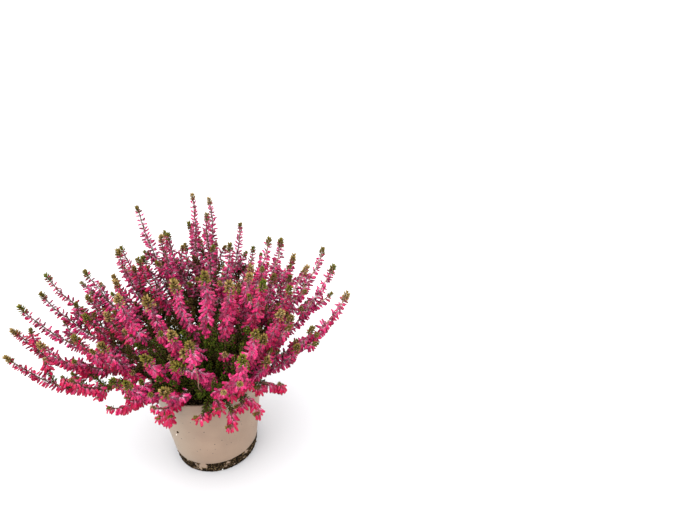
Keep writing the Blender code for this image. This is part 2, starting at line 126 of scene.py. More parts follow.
ROOT_DISC_POWER = 0.8
ROOT_SPACING = 8.2 * MM
ROOT_ROUNDS = 400
ROOT_PUSH = 0.4
CLEAR = 0.35 * MM
CLEAR_ROUNDS = 130
PAIRS_EVERY = 4
PAIRS_WITHIN = 2 * FLORET_REACH + 5 * MM
PUSH = 0.35
SMOOTHING = 0.25
LARGEST_MOVE = 2 * MM
HELD_LENGTH = 14 * MM
SIDE_FOLLOWS = 30 * MM
RIM_OVER = 4 * MM
RIM_ROOM = 2 * MM
PEAT_ROOM = 1 * MM
SEED = 7

# Each spray's tip, and its side shoot's where the rule doesn't set it: azimuth in degrees from
# +X, tilt in degrees from upright, and millimetres from the middle of the peat. A fourth number
# is the turn from the tip's azimuth to the way the tip points.
SPRAYS = [
    ((-168, 74, 197), (-157, 74, 136)),
    ((-177, 71, 203), (-165, 65, 169)),
    ((180, 64, 203), (-178, 55, 142)),
    ((173, 61, 195), None),
    ((169, 57, 200), (177, 49, 150)),
    ((166, 48, 171), (173, 37, 140)),
    ((-155, 54, 146), (-142, 49, 129)),
    ((-130, 30, 159), (-164, 42, 131)),
    ((160, 33, 165), (151, 38, 142)),
    ((138, 27, 196), (147, 31, 146)),
    ((148, 13, 165), (172, 22, 150)),
    ((110, 35, 149), (99, 39, 150)),
    ((98, 18, 199), (128, 20, 160)),
    ((68, 11, 181), (20, 14, 158)),
    ((88, 28, 195), (104, 27, 168)),
    ((-66, 27, 194), (-92, 20, 158)),
    ((-55, 30, 187), None),
    ((67, 31, 171), (51, 33, 149)),
    ((14, 26, 176), (-12, 24, 156)),
    ((26, 33, 174), None),
    ((14, 43, 166), (-2, 40, 150)),
    ((25, 48, 188), (38, 47, 160)),
    ((8, 48, 187), None),
    ((-4, 54, 190), (-11, 57, 143)),
    ((-17, 60, 126), None),
    ((-29, 42, 157), (-16, 47, 140)),
    ((-37, 33, 180), (-27, 26, 160)),
    ((-38, 55, 120), None),
    ((-50, 44, 166), (-40, 46, 138)),
    ((-58, 50, 157), (-70, 55, 120)),
    ((-79, 41, 154), None),
    ((-93, 44, 107, -87), (-97, 58, 118)),
    ((-92, 35, 138), (-112, 26, 150)),
    ((-109, 44, 124), None),
    ((-117, 57, 121), (-130, 60, 118)),
    ((-110, 70, 97), None),
    ((-145, 86, 105), (-136, 76, 92)),
    ((-64, 90, 86), None),
    ((-47, 87, 91), None),
    ((-70, 76, 84), (-85, 81, 78)),
    ((-26, 76, 96), None),
]
BACK_SPRAYS = 5
BACK_AZIMUTHS = (36, 154)
BACK_TILTS = (46, 68)
BACK_REACHES = (160, 192)
SIDE_TURNS = (10, 16)
SIDE_LEANS = (-9, 3)
SIDE_SHARES = (0.74, 0.86)
LEAFY_SHOOTS = 8
LEAFY_TWIGS = 2
LEAFY_FROM = 100
GOLDEN_TURN = 137.508
LEAFY_DISC_R = 26 * MM
LEAFY_HEIGHTS = (44, 64)
LEAFY_TILT = 8
LEAFY_TILT_AT_EDGE = 33
LEAFY_HANDLE = 0.3
LEAFY_UP = 0.2
TWIG_TILT = 52
TWIG_TURN = 170
TWIG_SHARE = 0.38

# The stems: their radii under the leaves, in millimetres, and where those are along the stem. Then
# how far and how often they waver, from a little over the pot or outside it.
FINE = 2
STEM_SHARES = (0, 0.12, 0.4, 1)
MAIN_RADII = (1.4, 0.98, 0.8, 0.55)
SIDE_RADII = (0.75, 0.8, 0.8, 0.55)
THIN_RADII = (0.55, 0.55, 0.55, 0.55)
STEM_BURIED = 8 * MM
KNOT = 0.12
WAVER = 2.6 * MM
WAVER_SIZE = 26 * MM
WAVER_SEED = 2
WAVER_OVER = 6 * MM
WAVER_EASE = 25 * MM
WAVER_OUTSIDE = 15 * MM

# How high the tip of a low shoot is at most, the rise where a shoot begins to lie and how much
# less is level, and how far behind the middle the front begins.
LOW_TIP = 140 * MM
LYING_RISE = 0.86
LYING_RANGE = 0.5
FRONT_BEHIND = 20 * MM

# Short twigs on the sprays: how many a shoot bears, where they start and how long they are. A twig
# leaves and ends by so much of its shoot's direction and so much of the way out of it.
FLOWER_TWIG_EVERY = 28 * MM
FLOWER_TWIGS = (0.3, 0.8)
FLOWER_TWIG_LENGTHS = (16, 34)
FLOWER_TWIG_LEAFY = 0.12
TWIGS_BY_RISE = 1.7
TWIGS_BY_FRONT = (1.3, 0.35)
LEAFY_TWIGS_AT = (0.14, 0.2, 0.27, 0.35, 0.44, 0.52, 0.6)
LEAFY_TWIGS_ON_LYING = (0.14, 0.2)
LYING_FROM = 0.3
LEAFY_TWIGS_ON_SIDE = (0.2, 0.4)
LEAFY_TWIG_LENGTHS = (14, 28)
TWIG_LEAVES = (0.9, 0.8)
TWIG_ENDS = (0.75, 0.7)
TWIG_RISE = 0.3
TWIG_HANDLES = (0.35, 0.3)
TWIG_CLEAR = 4 * MM
STEEP = 0.7

# Twigs placed one by one: the number of the spray that bears each, how far along it, the twig's tip
# as for the sprays, and its leafy share.
PLACED_TWIGS = [
    (29, 0.36, (-50, 71, 79), 0.05), (29, 0.46, (-42, 70, 82), 0.05),
    (30, 0.42, (-57, 72, 77), 0.05), (30, 0.5, (-48, 66, 84), 0.05),
    (9, 0.3, (162, 28, 81), 1), (9, 0.42, (160, 29, 90), 1),
    (11, 0.15, (124, 14, 78), 1), (11, 0.25, (166, 26, 73), 1),
    (11, 0.35, (122, 18, 86), 1), (1, 0.2, (-165, 93, 83), 0.05),
    (1, 0.36, (-166, 93, 115), 0.05), (36, 0.5, (-118, 90, 76), 0.05),
    (36, 0.6, (-110, 93, 74), 0.05), (36, 0.1, (-100, 72, 54), 1),
    (31, 0.12, (-84, 74, 52), 1), (32, 0.1, (-92, 78, 46), 1),
    (40, 0.1, (-70, 74, 56), 1), (46, 0.15, (140, 34, 68), 1),
    (12, 0.2, (118, 34, 70), 1), (12, 0.3, (113, 45, 86), 1),
    (6, 0.3, (155, 53, 100), 1), (10, 0.15, (145, 38, 83), 1),
    (42, 0.25, (29, 53, 91), 1), (9, 0.25, (142, 36, 85), 1),
    (12, 0.15, (112, 30, 84), 1),
]

# The sprays whose side shoot is leafy, and how far to the right a spray ends that bears leafy
# twigs only near its root.
LEAFY_SIDES = ("spray_30",)
FAR_RIGHT = 100 * MM

# A bell flower, as rings of height along it, radius and place on its colour chart.
POINT = 0.001
BELL_SIDES = 4
THIN_SIDES = 3
BELL_TUBE = [(0.9, POINT, 0.45), (2.6, 1.45, 0.55), (7.0, 1.05, 0.82), (6.4, 0.6, 0.88)]
BELL_STALK = [(-0.4, 0.3, 0.0), (1.5, POINT, 0.1)]
BELL_ANTHERS = [(5.9, POINT, 0.95), (7.6, 0.4, 1.0)]
SEPALS = 4
SEPAL_LENGTH = 3.5
SEPAL_R = 0.8
SEPAL_FLAT = 0.4
SEPAL_OUT = 0.8
SEPAL_Z = 1.1
SEPAL_LEAN = 13
SEPAL_CHART = (0.15, 0.4)

# How the bells stand. In pairs, the first value is for the back of the plant and the second for
# its front: how far apart they are along the stem, how bare its upper side is, and how far they
# hang. Then their sizes along the shoot and at the back, how they thin out, where they start,
# and how much of a tuft's length they leave free, on low shoots and on others. Single bells and
# leaves stray by so many degrees.
BELL_WHORL = 4
WHORL_TURN = 45
BELL_STRAY = 20
LEAF_STRAY = 14
SPREAD_STRAY = 9
BELL_SPACINGS = (0.7 * MM, 0.61 * MM)
TOP_BARE = (0.45, 1.2)
DROOPS = (0.35, 0.6)
BELL_SHARES = (0, 0.15, 0.6, 1)
BELL_SIZES = (0.9, 1.05, 1.02, 0.62)
BACK_BELL = 0.77
BELL_THINNING = 0.25
SPARSE_START = 0.4
BELL_CLUSTERS = 0.5
CLUSTER_SIZE = 16 * MM
BELL_FORWARD = 0.45
BELL_CLOSING = 0.7
BELL_ROUGH = 0.2
LOW_BLOOM_FROM = 0.4
LYING_BLOOM = 0.25
UPRIGHT_LEAFY = 0.24
UPRIGHT_RISE = 0.75
UPRIGHT_RANGE = 0.3
TUFT_FREE = (0.3, 0.8)

# Low shoots, and the main shoots of some sprays, bear their bells in a thick bunch: spacing, how
# bare the upper side is, how far they hang, and size.
LOW_BELLS = (0.72 * MM, 0.35, 1.1, 1.1)
BUNCHED_BELLS = (0.42 * MM, 0.35, 1.1, 1.12)
BUNCHED = ("spray_32", "spray_30")

# How dull the bells' colour is, and how deep on low shoots, at the sides, on a shoot's lower side
# and at its tip; the deeper crimson on the lower side is painted shade. Then how much painted light
# the darkest bells keep, on low shoots and on others, where painted shade darkens each bell at random.
DULL = 0.6
LESS_DULL_AT_FRONT = 0.8
DULL_DRAW = (-0.15, 0.3)
DEEPEST = -0.9
DEEP_AT_LEFT = 1.3
DEEP_AT_RIGHT = 0.7
PAINTED_SHADE_BELOW = 0.4
DEEP_AT_TIP = 0.9
LOW_BELL_LIGHT = 0.6
OTHER_BELL_LIGHT = 0.1

# Where the bells start on the sprays that bear them by no rule: a share of the shoot's length.
BLOOM_FROM = {"spray_31": 0.82, "spray_32": 0.3, "spray_36": 0.3, "spray_38": 0.6, "spray_39": 0.5,
              "spray_40": 0.6, "spray_41": 0.5}

# The spray whose stem is thin, and bare from its lower leaves to its bells, and how far the
# leaves go.
BARE_BELOW = "spray_31"
BARE_FROM = 0.45

# Leaves, as rings of height, radius and place on their colour chart: slender needles, and the
# broad ones of the tufts.
NEEDLE = [(0, POINT, 0.0), (2.2, 0.68, 0.5), (5.4, POINT, 1.0)]
BROAD_LEAF = [(0, POINT, 0.0), (2, 1.35, 0.45), (4.1, 1.05, 0.85), (5.2, POINT, 1.0)]
LEAF_FLAT = 0.55

# Whorls of leaves: how far apart they are, how many leaves each has, how far these lean out at the
# start and at the end, and their size. Then where they start on side shoots, how far to the front
# a shoot is seen well, and the tufts.
NEEDLES = (1.7 * MM, 4, (55, 45), 1.0)
BRACTS = (3.2 * MM, 2, (38, 30), 0.7)
LEAFY = (2.1 * MM, 4, (66, 30), 0.85)
LOW_LEAVES = (2.1 * MM, 4, (66, 50), 0.85)
SIDE_BARE = 2 * MM
SEEN_FROM = 0.7
TUFT_SPACING = 1.8 * MM
TUFT_PAST = 0.6 * MM
TUFT_WHORL = 6
TUFT_SPREADS = (80, 28)
TUFT_REAL_LENGTH = 8 * MM
TUFT_SIZES = (0.98, 1.18)
BACK_TUFT = 0.62
SMALL_TUFT = 0.5
SMALL_SHOOT = 40 * MM
NEEDLES_PAST_BLOOM = 6 * MM

# Places on the leaves' colour chart.
FRONT_GREENS = (0.22, 0.42)
BACK_GREENS = (0, 0.12)
LOW_GREEN = 0.38
BRACT_TONE = 0.04
TUFT_TONES = (0.5, 0.58, 0.64, 0.7, 0.78, 0.86, 0.94)

# The soil on the pot's foot: how thick it is, how that changes over its patches, and where it is
# thin. Then the marks on the wall, as azimuth, height and size, and the crumbs.
SOIL_TOP = 15.5 * MM
SOIL_COVER = 0.78
SOIL_PATCHES = 0.5
SOIL_EDGE = 2 * MM
SOIL_MORE_BELOW = 4 * MM
SOIL_BARE_AZIMUTH = -103
SOIL_BARE_HALF = 22
SOIL_BARE = 0.2
SOIL_SEEN = 0.6
SOIL_CRUMBS = 1100
PEAT_CRUMBS = 900
CRUMB_ROUGH = 0.45
CRUMB_WAVES = 1900
CHIP = (-120, 61.4 * MM, 2.6)
GRAIN = (-72, 1.8 * MM, 1.4)
SCUFF = (-125, 54.5 * MM)
SCUFF_SIZE = (1.1 * MM, 0.3 * MM, 4.8 * MM)
SCUFF_LEAN = 32

# Layers of noise, as the size of their lumps and how high these rise, or how much they count.
PEAT_NOISE = ((11 * MM, PEAT_LUMPS), (3.5 * MM, 0.7 * MM), (1.4 * MM, 0.5 * MM))
SOIL_NOISE = ((7 * MM, 1), (3 * MM, 0.6))


def held(value, low=0, high=1):
    """The value, kept between low and high."""
    return min(high, max(low, value))


def between(pair, share):
    """The value at this share of the way from the pair's first to its second."""
    return pair[0] + (pair[1] - pair[0]) * share


def direction(azimuth, tilt):
    """The unit vector at these angles, in degrees."""
    turn, lean = math.radians(azimuth), math.radians(tilt)
    return Vector((math.sin(lean) * math.cos(turn), math.sin(lean) * math.sin(turn), math.cos(lean)))


def tip_place(azimuth, tilt, reach):
    """The place at these angles and so many millimetres from the middle of the peat."""
    return UP * PEAT_Z + direction(azimuth, tilt) * reach * MM


def layered(place, layers):
    """The sum of these layers of noise there."""
    return sum(noise.noise(place / size) * most for size, most in layers)


def all_sprays(draw):
    """Every spray as two tip places: the outline's sprays, then those at the back by a rule."""
    sprays = list(SPRAYS)
    for number in range(BACK_SPRAYS):
        azimuth = between(BACK_AZIMUTHS, (number + 0.5) / BACK_SPRAYS)
        sprays.append(((azimuth, draw.uniform(*BACK_TILTS), draw.uniform(*BACK_REACHES)), None))
    pairs = []
    for tip, side in sprays:
        azimuth, tilt, reach = tip[:3]
        turn = draw.choice((-1, 1)) * draw.uniform(*SIDE_TURNS)
        lean = draw.uniform(*SIDE_LEANS)
        share = draw.uniform(*SIDE_SHARES)
        pairs.append((tip, side or (azimuth + turn, tilt + lean, reach * share)))
    return pairs


def spread_roots(wanted):
    """Roots near the wanted places on the peat, pushed apart until each has room for its hole."""
    roots = np.array([(place.x, place.y) for place in wanted])
    for _ in range(ROOT_ROUNDS):
        away = roots[:, None] - roots[None]
        far = np.linalg.norm(away, axis=2) + np.eye(len(roots))
        push = np.clip(ROOT_SPACING - far, 0, None) * (1 - np.eye(len(roots))) / far
        roots += (away * push[:, :, None]).sum(1) * ROOT_PUSH
        out = np.linalg.norm(roots, axis=1)
        roots *= np.minimum(1, ROOT_DISC_R / np.maximum(out, MM))[:, None]
    return [Vector((x, y, COLLAR_Z)) for x, y in roots]


def run_along(line):
    """How far along the line each of its points is."""
    return np.concatenate([[0], np.cumsum(np.linalg.norm(np.diff(line, axis=0), axis=1))])


def smooth_line(start, leave, arrive, end):
    """Points STEP apart along a line that leaves start by one vector and meets end by another."""
    share = np.linspace(0, 1, LINE_POINTS)[:, None]
    near, first, last, far = (np.array(place) for place in (start, start + leave, end - arrive, end))
    line = (near * (1 - share) ** 3 + 3 * first * share * (1 - share) ** 2
            + 3 * last * share**2 * (1 - share) + far * share**3)
    run = run_along(line)
    at = np.linspace(0, run[-1], max(4, round(run[-1] / STEP)) + 1)
    return np.stack([np.interp(at, run, line[:, axis]) for axis in range(3)], axis=1)


def trails(tilt, reach):
    """Whether a shoot with its tip there trails over the rim."""
    return tilt > TRAIL_TILT and reach < TRAIL_REACH


def sag(tilt, reach):
    """How far a long shoot sags that leans the most, in degrees past the tilt where that starts."""
    return 0 if trails(tilt, reach) else max(0, tilt - SAG_TILT)


def arrival(azimuth, tilt, reach, turn=0):
    """How a shoot comes to its tip: turned up, and bent aside by its turn. Where it trails over
    the rim it turns up towards the light."""
    if trails(tilt, reach):
        return direction(TRAIL_FACING, TRAIL_LEAN) * TRAIL_HANDLE
    handle = ARRIVE_HANDLE + ARRIVE_HANDLE_BY_TILT * tilt + SAG_HANDLE * sag(tilt, reach)
    return direction(azimuth + turn, ARRIVE_SHARE * tilt + TURN_LEAN * abs(turn)) * handle


def main_line(root, azimuth, tilt, reach, turn=0):
    """A main shoot's line: low over the rim, and turned up to its tip."""
    end = tip_place(azimuth, tilt, reach)
    length = (end - root).length
    sagging = sag(tilt, reach)
    lean = min(LEAVE_SHARE * tilt + LEAVE_MORE, LOWEST_LEAVE + SAG_LEAVE * sagging)
    leave = direction(azimuth - TURN_BACK * turn, lean) * length * (LEAVE_HANDLE + SAG_HANDLE * sagging)
    return smooth_line(root, leave, arrival(azimuth, tilt, reach, turn) * length, end)


def side_line(main, joint, azimuth, tilt, reach):
    """A side shoot's line: off the main shoot at one of its points, then to its own tip."""
    start = Vector(main[joint])
    end = tip_place(azimuth, tilt, reach)
    along = (Vector(main[joint + 1]) - start).normalized()
    length = (end - start).length
    leave = (along + (end - start).normalized() * SIDE_AWAY).normalized() * length * SIDE_HANDLE
    return smooth_line(start, leave, arrival(azimuth, tilt, reach) * length, end)


class Shoot:
    """One shoot: its node, its points, the share of it that bears leaves, and, for a side shoot,
    its main shoot and which of that shoot's points it grows from."""

    def __init__(self, node, points, leafy_share, parent=None, joint=0):
        self.node, self.points, self.leafy_share = node, points, leafy_share
        self.parent, self.joint = parent, joint
        self.run = run_along(points)

    def wanted_reach(self):
        """How far leaves or florets stand out from the middle of the stem at each point."""
        length = self.run[-1]
        bare = SIDE_BARE_SHARE * BARE_FOOT if self.parent else BARE_FOOT
        reach = np.where(self.run < length * self.leafy_share, LEAF_REACH, FLORET_REACH)
        reach = np.where(self.run > length - TUFT_LENGTH, TUFT_REACH, reach)
        return np.where(self.run < bare, 0, reach)

    def refine(self):
        """Sets the shoot's smooth line, through its points, and the length along it."""
        ends = np.concatenate([[2 * self.points[0] - self.points[1]], self.points,
                               [2 * self.points[-1] - self.points[-2]]])
        before, start, end, after = (ends[k:len(ends) - 3 + k] for k in range(4))
        share = (np.arange(FINE) / FINE)[:, None, None]
        line = 0.5 * (2 * start + (end - before) * share
                      + (2 * before - 5 * start + 4 * end - after) * share**2
                      + (3 * start - before - 3 * end + after) * share**3)
        line = np.concatenate([line.transpose(1, 0, 2).reshape(-1, 3), self.points[-1:]])
        self.line = np.array([waver(Vector(point)) for point in line])
        self.far = run_along(self.line)
        self.length = self.far[-1]

    def rise(self):
        """How steeply the shoot rises from its root to its tip: 1 is upright."""
        return Vector(self.points[-1] - self.points[0]).normalized().z

    def lying(self):
        """How near the shoot lies to level: 1 is nearly level and 0 is steep."""
        return held((LYING_RISE - self.rise()) / LYING_RANGE)

    def front(self):
        """How far the shoot comes to the front: 1 is straight to it and 0 straight back."""
        x, y, _ = self.points[-1]
        return 0.5 - 0.5 * math.sin(math.atan2(y + FRONT_BEHIND, x))

    def low(self):
        """Whether the shoot trails over the rim, or ends low beside it."""
        return self.points[-1][2] < LOW_TIP

    def place(self, far):
        """The point this far along the smooth line."""
        return Vector([np.interp(far, self.far, self.line[:, axis]) for axis in range(3)])

    def way(self, far):
        """The line's direction there."""
        far = held(far, MM, self.length - MM)
        return (self.place(far + MM) - self.place(far - MM)).normalized()


def waver(point):
    """The point moved a little, as a stem wavers, but not near the peat or the rim."""
    ease = held((point.z - POT_HEIGHT - WAVER_OVER) / WAVER_EASE)
    if point.xy.length > RIM_R + WAVER_OUTSIDE:
        ease = 1
    return point + noise.noise_vector(point / WAVER_SIZE) * WAVER * ease


def leafy_shoot(node, root, azimuth, tilt, high, turn):
    """A short green shoot: a main stem and its twigs, which start one point apart."""
    end = root + direction(azimuth, tilt) * high
    up = UP * (LEAFY_HANDLE * high)
    main = Shoot(node, smooth_line(root, up, (end - root) * LEAFY_HANDLE, end), 1)
    shoots = [main]
    for joint in range(2, 2 + LEAFY_TWIGS):
        start = Vector(main.points[joint])
        side = direction(azimuth + turn + TWIG_TURN * joint, TWIG_TILT) + direction(azimuth, tilt)
        end = start + side * high * TWIG_SHARE
        line = smooth_line(start, (end - start) * LEAFY_HANDLE, UP * (LEAFY_UP * high), end)
        shoots.append(Shoot(node, line, 1, main, joint))
    return shoots


def plan_shoots():
    """All shoots of the plant, before they are bent clear of each other."""
    # Without a seed of its own, the noise that waver() adds would change from run to run.
    noise.seed_set(WAVER_SEED)
    draw = random.Random(SEED)
    sprays = all_sprays(draw)
    wanted = [direction(azimuth, 90) * ROOT_DISC_R * (tilt / 90) ** ROOT_DISC_POWER
              for (azimuth, tilt, *_), _ in sprays]
    leafy = [(LEAFY_FROM + GOLDEN_TURN * number, LEAFY_DISC_R * math.sqrt((number + 0.6) / LEAFY_SHOOTS))
             for number in range(LEAFY_SHOOTS)]
    wanted += [direction(azimuth, 90) * out for azimuth, out in leafy]
    roots = spread_roots(wanted)
    shoots = []
    for number, (tip, side) in enumerate(sprays):
        node = f"spray_{number + 1:02d}"
        main = Shoot(node, main_line(roots[number], *tip), MAIN_LEAFY_SHARE)
        joint = max(2, round(JOINT_SHARE * len(main.points)))
        side = Shoot(node, side_line(main.points, joint, *side), SIDE_LEAFY_SHARE, main, joint)
        shoots += [main, side]
    for number, (azimuth, out) in enumerate(leafy):
        high = draw.uniform(*LEAFY_HEIGHTS) * MM
        tilt = LEAFY_TILT + LEAFY_TILT_AT_EDGE * out / LEAFY_DISC_R
        root = roots[len(sprays) + number]
        shoots += leafy_shoot(f"leafy_shoot_{number + 1}", root, azimuth, tilt, high, draw.uniform(0, 360))
    return shoots


def wall_radius(z):
    """The pot wall's outer radius at height z, without the rim's band."""
    return between((SHOULDER_R, RIM_R - BAND_STEP), (z - SHOULDER_Z) / (POT_HEIGHT - SHOULDER_Z))


def off_pot(points):
    """How far each point is from the pot's rim or wall, and the way off them: up over or inside
    the rim, and straight out where the point is outside."""
    out = np.linalg.norm(points[:, :2], axis=1)
    height = np.minimum(points[:, 2], POT_HEIGHT)
    inside = out < wall_radius(height)
    face = wall_radius(height) - WALL * (inside & (points[:, 2] < POT_HEIGHT))
    on_pot = points * (face / np.maximum(out, MM))[:, None]
    on_pot[:, 2] = height
    away = points - on_pot
    far = np.linalg.norm(away, axis=1)
    way = np.where((out < RIM_R + RIM_OVER)[:, None], (0, 0, 1), away / np.maximum(far, MM)[:, None])
    return far - BAND_STEP, way


def over_peat(points):
    """How high each point is over the peat, where it is over the pot at all."""
    over = np.linalg.norm(points[:, :2], axis=1) < RIM_R
    return np.where(over, points[:, 2] - PEAT_Z - PEAT_MOUND - PEAT_LUMPS, 1)


def close_pairs(place, node, within):
    """The pairs of points of different nodes that lie within this distance of each other."""
    square = (place**2).sum(1)
    far = square[:, None] + square[None] - 2 * place @ place.T
    return np.nonzero((far < within**2) & (node[:, None] != node[None]))


def bend_clear(shoots):
    """Moves the points until no shoot crowds another node's, the rim or the peat."""
    first = np.cumsum([0] + [len(shoot.points) for shoot in shoots])
    parts = [slice(first[k], first[k + 1]) for k in range(len(shoots))]
    start_of = {id(shoot): first[k] for k, shoot in enumerate(shoots)}
    place = np.concatenate([shoot.points for shoot in shoots])
    begun = place.copy()
    reach = np.concatenate([np.maximum(shoot.wanted_reach(), ROOT_R) for shoot in shoots])
    names = sorted({shoot.node for shoot in shoots})
    node = np.concatenate([[names.index(shoot.node)] * len(shoot.points) for shoot in shoots])
    ease = np.concatenate([np.clip(shoot.run / HELD_LENGTH, 0, 1) for shoot in shoots])
    for turn in range(CLEAR_ROUNDS):
        if turn % PAIRS_EVERY == 0:
            one, other = close_pairs(place, node, PAIRS_WITHIN)
            room = reach[one] + reach[other] + 2 * CLEAR
        away = place[one] - place[other]
        far = np.linalg.norm(away, axis=1) + TINY
        push = away * (np.clip(room - far, 0, None) / far)[:, None]
        move = PUSH * np.stack([np.bincount(one, push[:, axis], len(place)) for axis in range(3)], axis=1)
        far, way = off_pot(place)
        move += way * np.clip(reach + RIM_ROOM - far, 0, None)[:, None]
        move[:, 2] += np.clip(reach + PEAT_ROOM - over_peat(place), 0, None) * (ease > 0.5)
        size = np.linalg.norm(move, axis=1)
        move *= (ease * np.minimum(1, LARGEST_MOVE / np.maximum(size, TINY)))[:, None]
        bent = place + move - begun
        for shoot, part in zip(shoots, parts):
            own = bent[part]
            own[1:-1] += SMOOTHING * (own[:-2] + own[2:] - 2 * own[1:-1])
            if shoot.parent:
                joint = start_of[id(shoot.parent)] + shoot.joint
                fade = np.clip(1 - shoot.run / SIDE_FOLLOWS, 0, 1)
                own += (bent[joint] - own[0]) * fade[:, None]
        place = begun + bent
    for shoot, part in zip(shoots, parts):
        shoot.points = place[part]


# Finishes. Each starts from what the real surface is.


def shade(code):
    """An sRGB hex colour as the linear colour that a node takes."""
    parts = [int(code[k:k + 2], 16) / 255 for k in (0, 2, 4)]
    return (*(part / 12.92 if part <= 0.04045 else ((part + 0.055) / 1.055) ** 2.4 for part in parts), 1)


def feed(made, inputs):
    """Links or sets a node's inputs."""
    for name, value in inputs.items():
        if isinstance(value, bpy.types.NodeSocket):
            made.id_data.links.new(value, made.inputs[name])
        else:
            made.inputs[name].default_value = value


def node(tree, kind, inputs=None, stops=None, out=0, **settings):
    """Adds a node of this kind with its settings, input values or links, and colour stops, and
    returns this output of it."""
    made = tree.nodes.new("ShaderNode" + kind)
    for name, value in settings.items():
        setattr(made, name, value)
    feed(made, inputs or {})
    if stops:
        ramp = made.color_ramp.elements
        for place, _ in stops[2:]:
            ramp.new(place)
        for element, (place, code) in zip(ramp, stops):
            element.position = place
            element.color = shade(code)
    return made.outputs[out]


def finish_of(name, roughness, ior=1.46, gloss=0.5):
    """A new material, its shader, and what adds a node to it."""
    made = bpy.data.materials.new(name)
    made.use_nodes = True
    shader = made.node_tree.nodes["Principled BSDF"]
    feed(shader, {"Roughness": roughness, "IOR": ior, "Specular IOR Level": gloss})
    return made, shader, partial(node, made.node_tree)


def plain(name, code, roughness):
    """A new material of one colour."""
    made, shader, _ = finish_of(name, roughness)
    feed(shader, {"Base Color": shade(code)})
    return made


# What a node that mixes colours needs.
RGBA = {"out": 2, "data_type": "RGBA"}

# The bells' colours. Their chart runs along a bell: stalk, sepals, tube from foot to mouth, anthers.
# The turned-in mouth is dark as painted shade, and the sepals are pale partly in their own colour
# and partly as painted highlight.
BELL_CHART = (0, 0.1, 0.15, 0.4, 0.45, 0.6, 0.8, 0.88, 0.95, 1)
PINK = ("9A6456", "B87870", "FCCCE0", "F490BC", "F466A8", "F04890", "E22874", "921244", "5A0C28",
        "40101C")
MAUVE = ("7A5242", "8E6252", "DCB0BC", "CC8698", "C46E82", "B45268", "9C344E", "5C1430", "401020",
         "30101A")
CRIMSON = ("6E4436", "8A4E44", "D06488", "CA3E6E", "D4245E", "CE124E", "BA0A40", "660624", "4A0A20",
           "34101A")


def bell_petal():
    """Petal: thin waxy skin over clear cells. The colour is deep and clean, and the gloss soft.
    Tones run from -1 for deep crimson through 0 for pink to 1 for mauve."""
    made, shader, add = finish_of("waxy_bell_petal", 0.42, 1.44, 0.3)
    part, tone, depth = (add("Attribute", out="Fac", attribute_name=name)
                         for name in ("part", "tone", "depth"))
    pink, mauve, crimson = (add("ValToRGB", {"Fac": part}, list(zip(BELL_CHART, codes)))
                            for codes in (PINK, MAUVE, CRIMSON))
    dulled = add("Mix", {"Factor": tone, 6: pink, 7: mauve}, **RGBA)
    deep = add("Math", {0: tone, 1: -1}, operation="MULTIPLY")
    mixed = add("Mix", {"Factor": deep, 6: dulled, 7: crimson}, **RGBA)
    # Painted shade: each bell's depth darkens its colour, down to this grey-pink at depth 0.
    painted_shade_level = add("ValToRGB", {"Fac": depth}, [(0, "70666A"), (1, "FFFFFF")])
    shaded = add("Mix", {"Factor": 1, 6: mixed, 7: painted_shade_level}, **RGBA, blend_type="MULTIPLY")
    feed(shader, {"Base Color": shaded})
    return made


def heath_leaf():
    """Leaf: a narrow leathery needle with its edges rolled under, so it is matt, and dark where it is
    old. Painted shade darkens it at its base and painted light makes it paler at the tip."""
    made, shader, add = finish_of("leathery_heath_leaf", 0.55, 1.42, 0.06)
    part, tone = (add("Attribute", out="Fac", attribute_name=name) for name in ("part", "tone"))
    age = add("ValToRGB", {"Fac": tone}, [
        (0, "604A32"), (0.15, "4E4A20"), (0.3, "3E5418"), (0.45, "647028"), (0.6, "7C7434"),
        (0.75, "78653A"), (0.88, "947C4A"), (1, "B49A6E")])
    # Painted shade and painted light along each leaf: darker at its base within the whorl, paler at its
    # tip.
    end = add("ValToRGB", {"Fac": part}, [(0, "66645A"), (0.5, "D0D0C0"), (1, "FFF8E4")])
    shaded = add("Mix", {"Factor": 1, 6: age, 7: end}, **RGBA, blend_type="MULTIPLY")
    feed(shader, {"Base Color": shaded})
    return made


def young_bark():
    """Bark of thin shoots: nearly smooth on this year's growth, and darker and scarred by old leaves near
    the root. Painted light makes it tan-pink at the front and right, and painted shade keeps it brown
    elsewhere."""
    made, shader, add = finish_of("young_heath_bark", 0.6, 1.46, 0.25)
    place = add("TexCoord", out="Object")
    far = add("VectorMath", {0: place, 1: (0, 0, PEAT_Z)}, out="Value", operation="DISTANCE")
    scar = add("TexVoronoi", {"Vector": place, "Scale": 1 / (1.6 * MM)})
    grown = add("MapRange", {"Value": far, "From Min": 15 * MM, "From Max": 110 * MM})
    # Painted shade and painted light: the same bark as a shaded brown and as a lit tan-pink.
    shaded_bark_paint = add("ValToRGB", {"Fac": grown}, [
        (0, "2E2017"), (0.35, "42301F"), (0.7, "543C28"), (1, "644832")])
    lit_bark_paint = add("ValToRGB", {"Fac": grown}, [
        (0, "3E2A20"), (0.35, "7A5848"), (0.7, "AC8472"), (1, "C29A86")])
    x, y = (add("SeparateXYZ", {"Vector": place}, out=axis) for axis in "XY")
    # Where the painted light falls: towards the front and on the right.
    front = add("MapRange", {"Value": y, "From Min": -80 * MM, "From Max": -115 * MM})
    right = add("MapRange", {"Value": x, "From Min": 25 * MM, "From Max": 80 * MM})
    painted_light_share = add("Math", {0: front, 1: right}, operation="MAXIMUM")
    colour = add("Mix", {"Factor": painted_light_share, 6: shaded_bark_paint, 7: lit_bark_paint}, **RGBA)
    dark = add("ValToRGB", {"Fac": scar}, [(0.1, "9A8078"), (0.5, "FFFFFF")])
    mixed = add("Mix", {"Factor": 1, 6: colour, 7: dark}, **RGBA, blend_type="MULTIPLY")
    bump = add("Bump", {"Height": scar, "Strength": 0.4, "Distance": 0.2 * MM})
    feed(shader, {"Base Color": mixed, "Normal": bump})
    return made


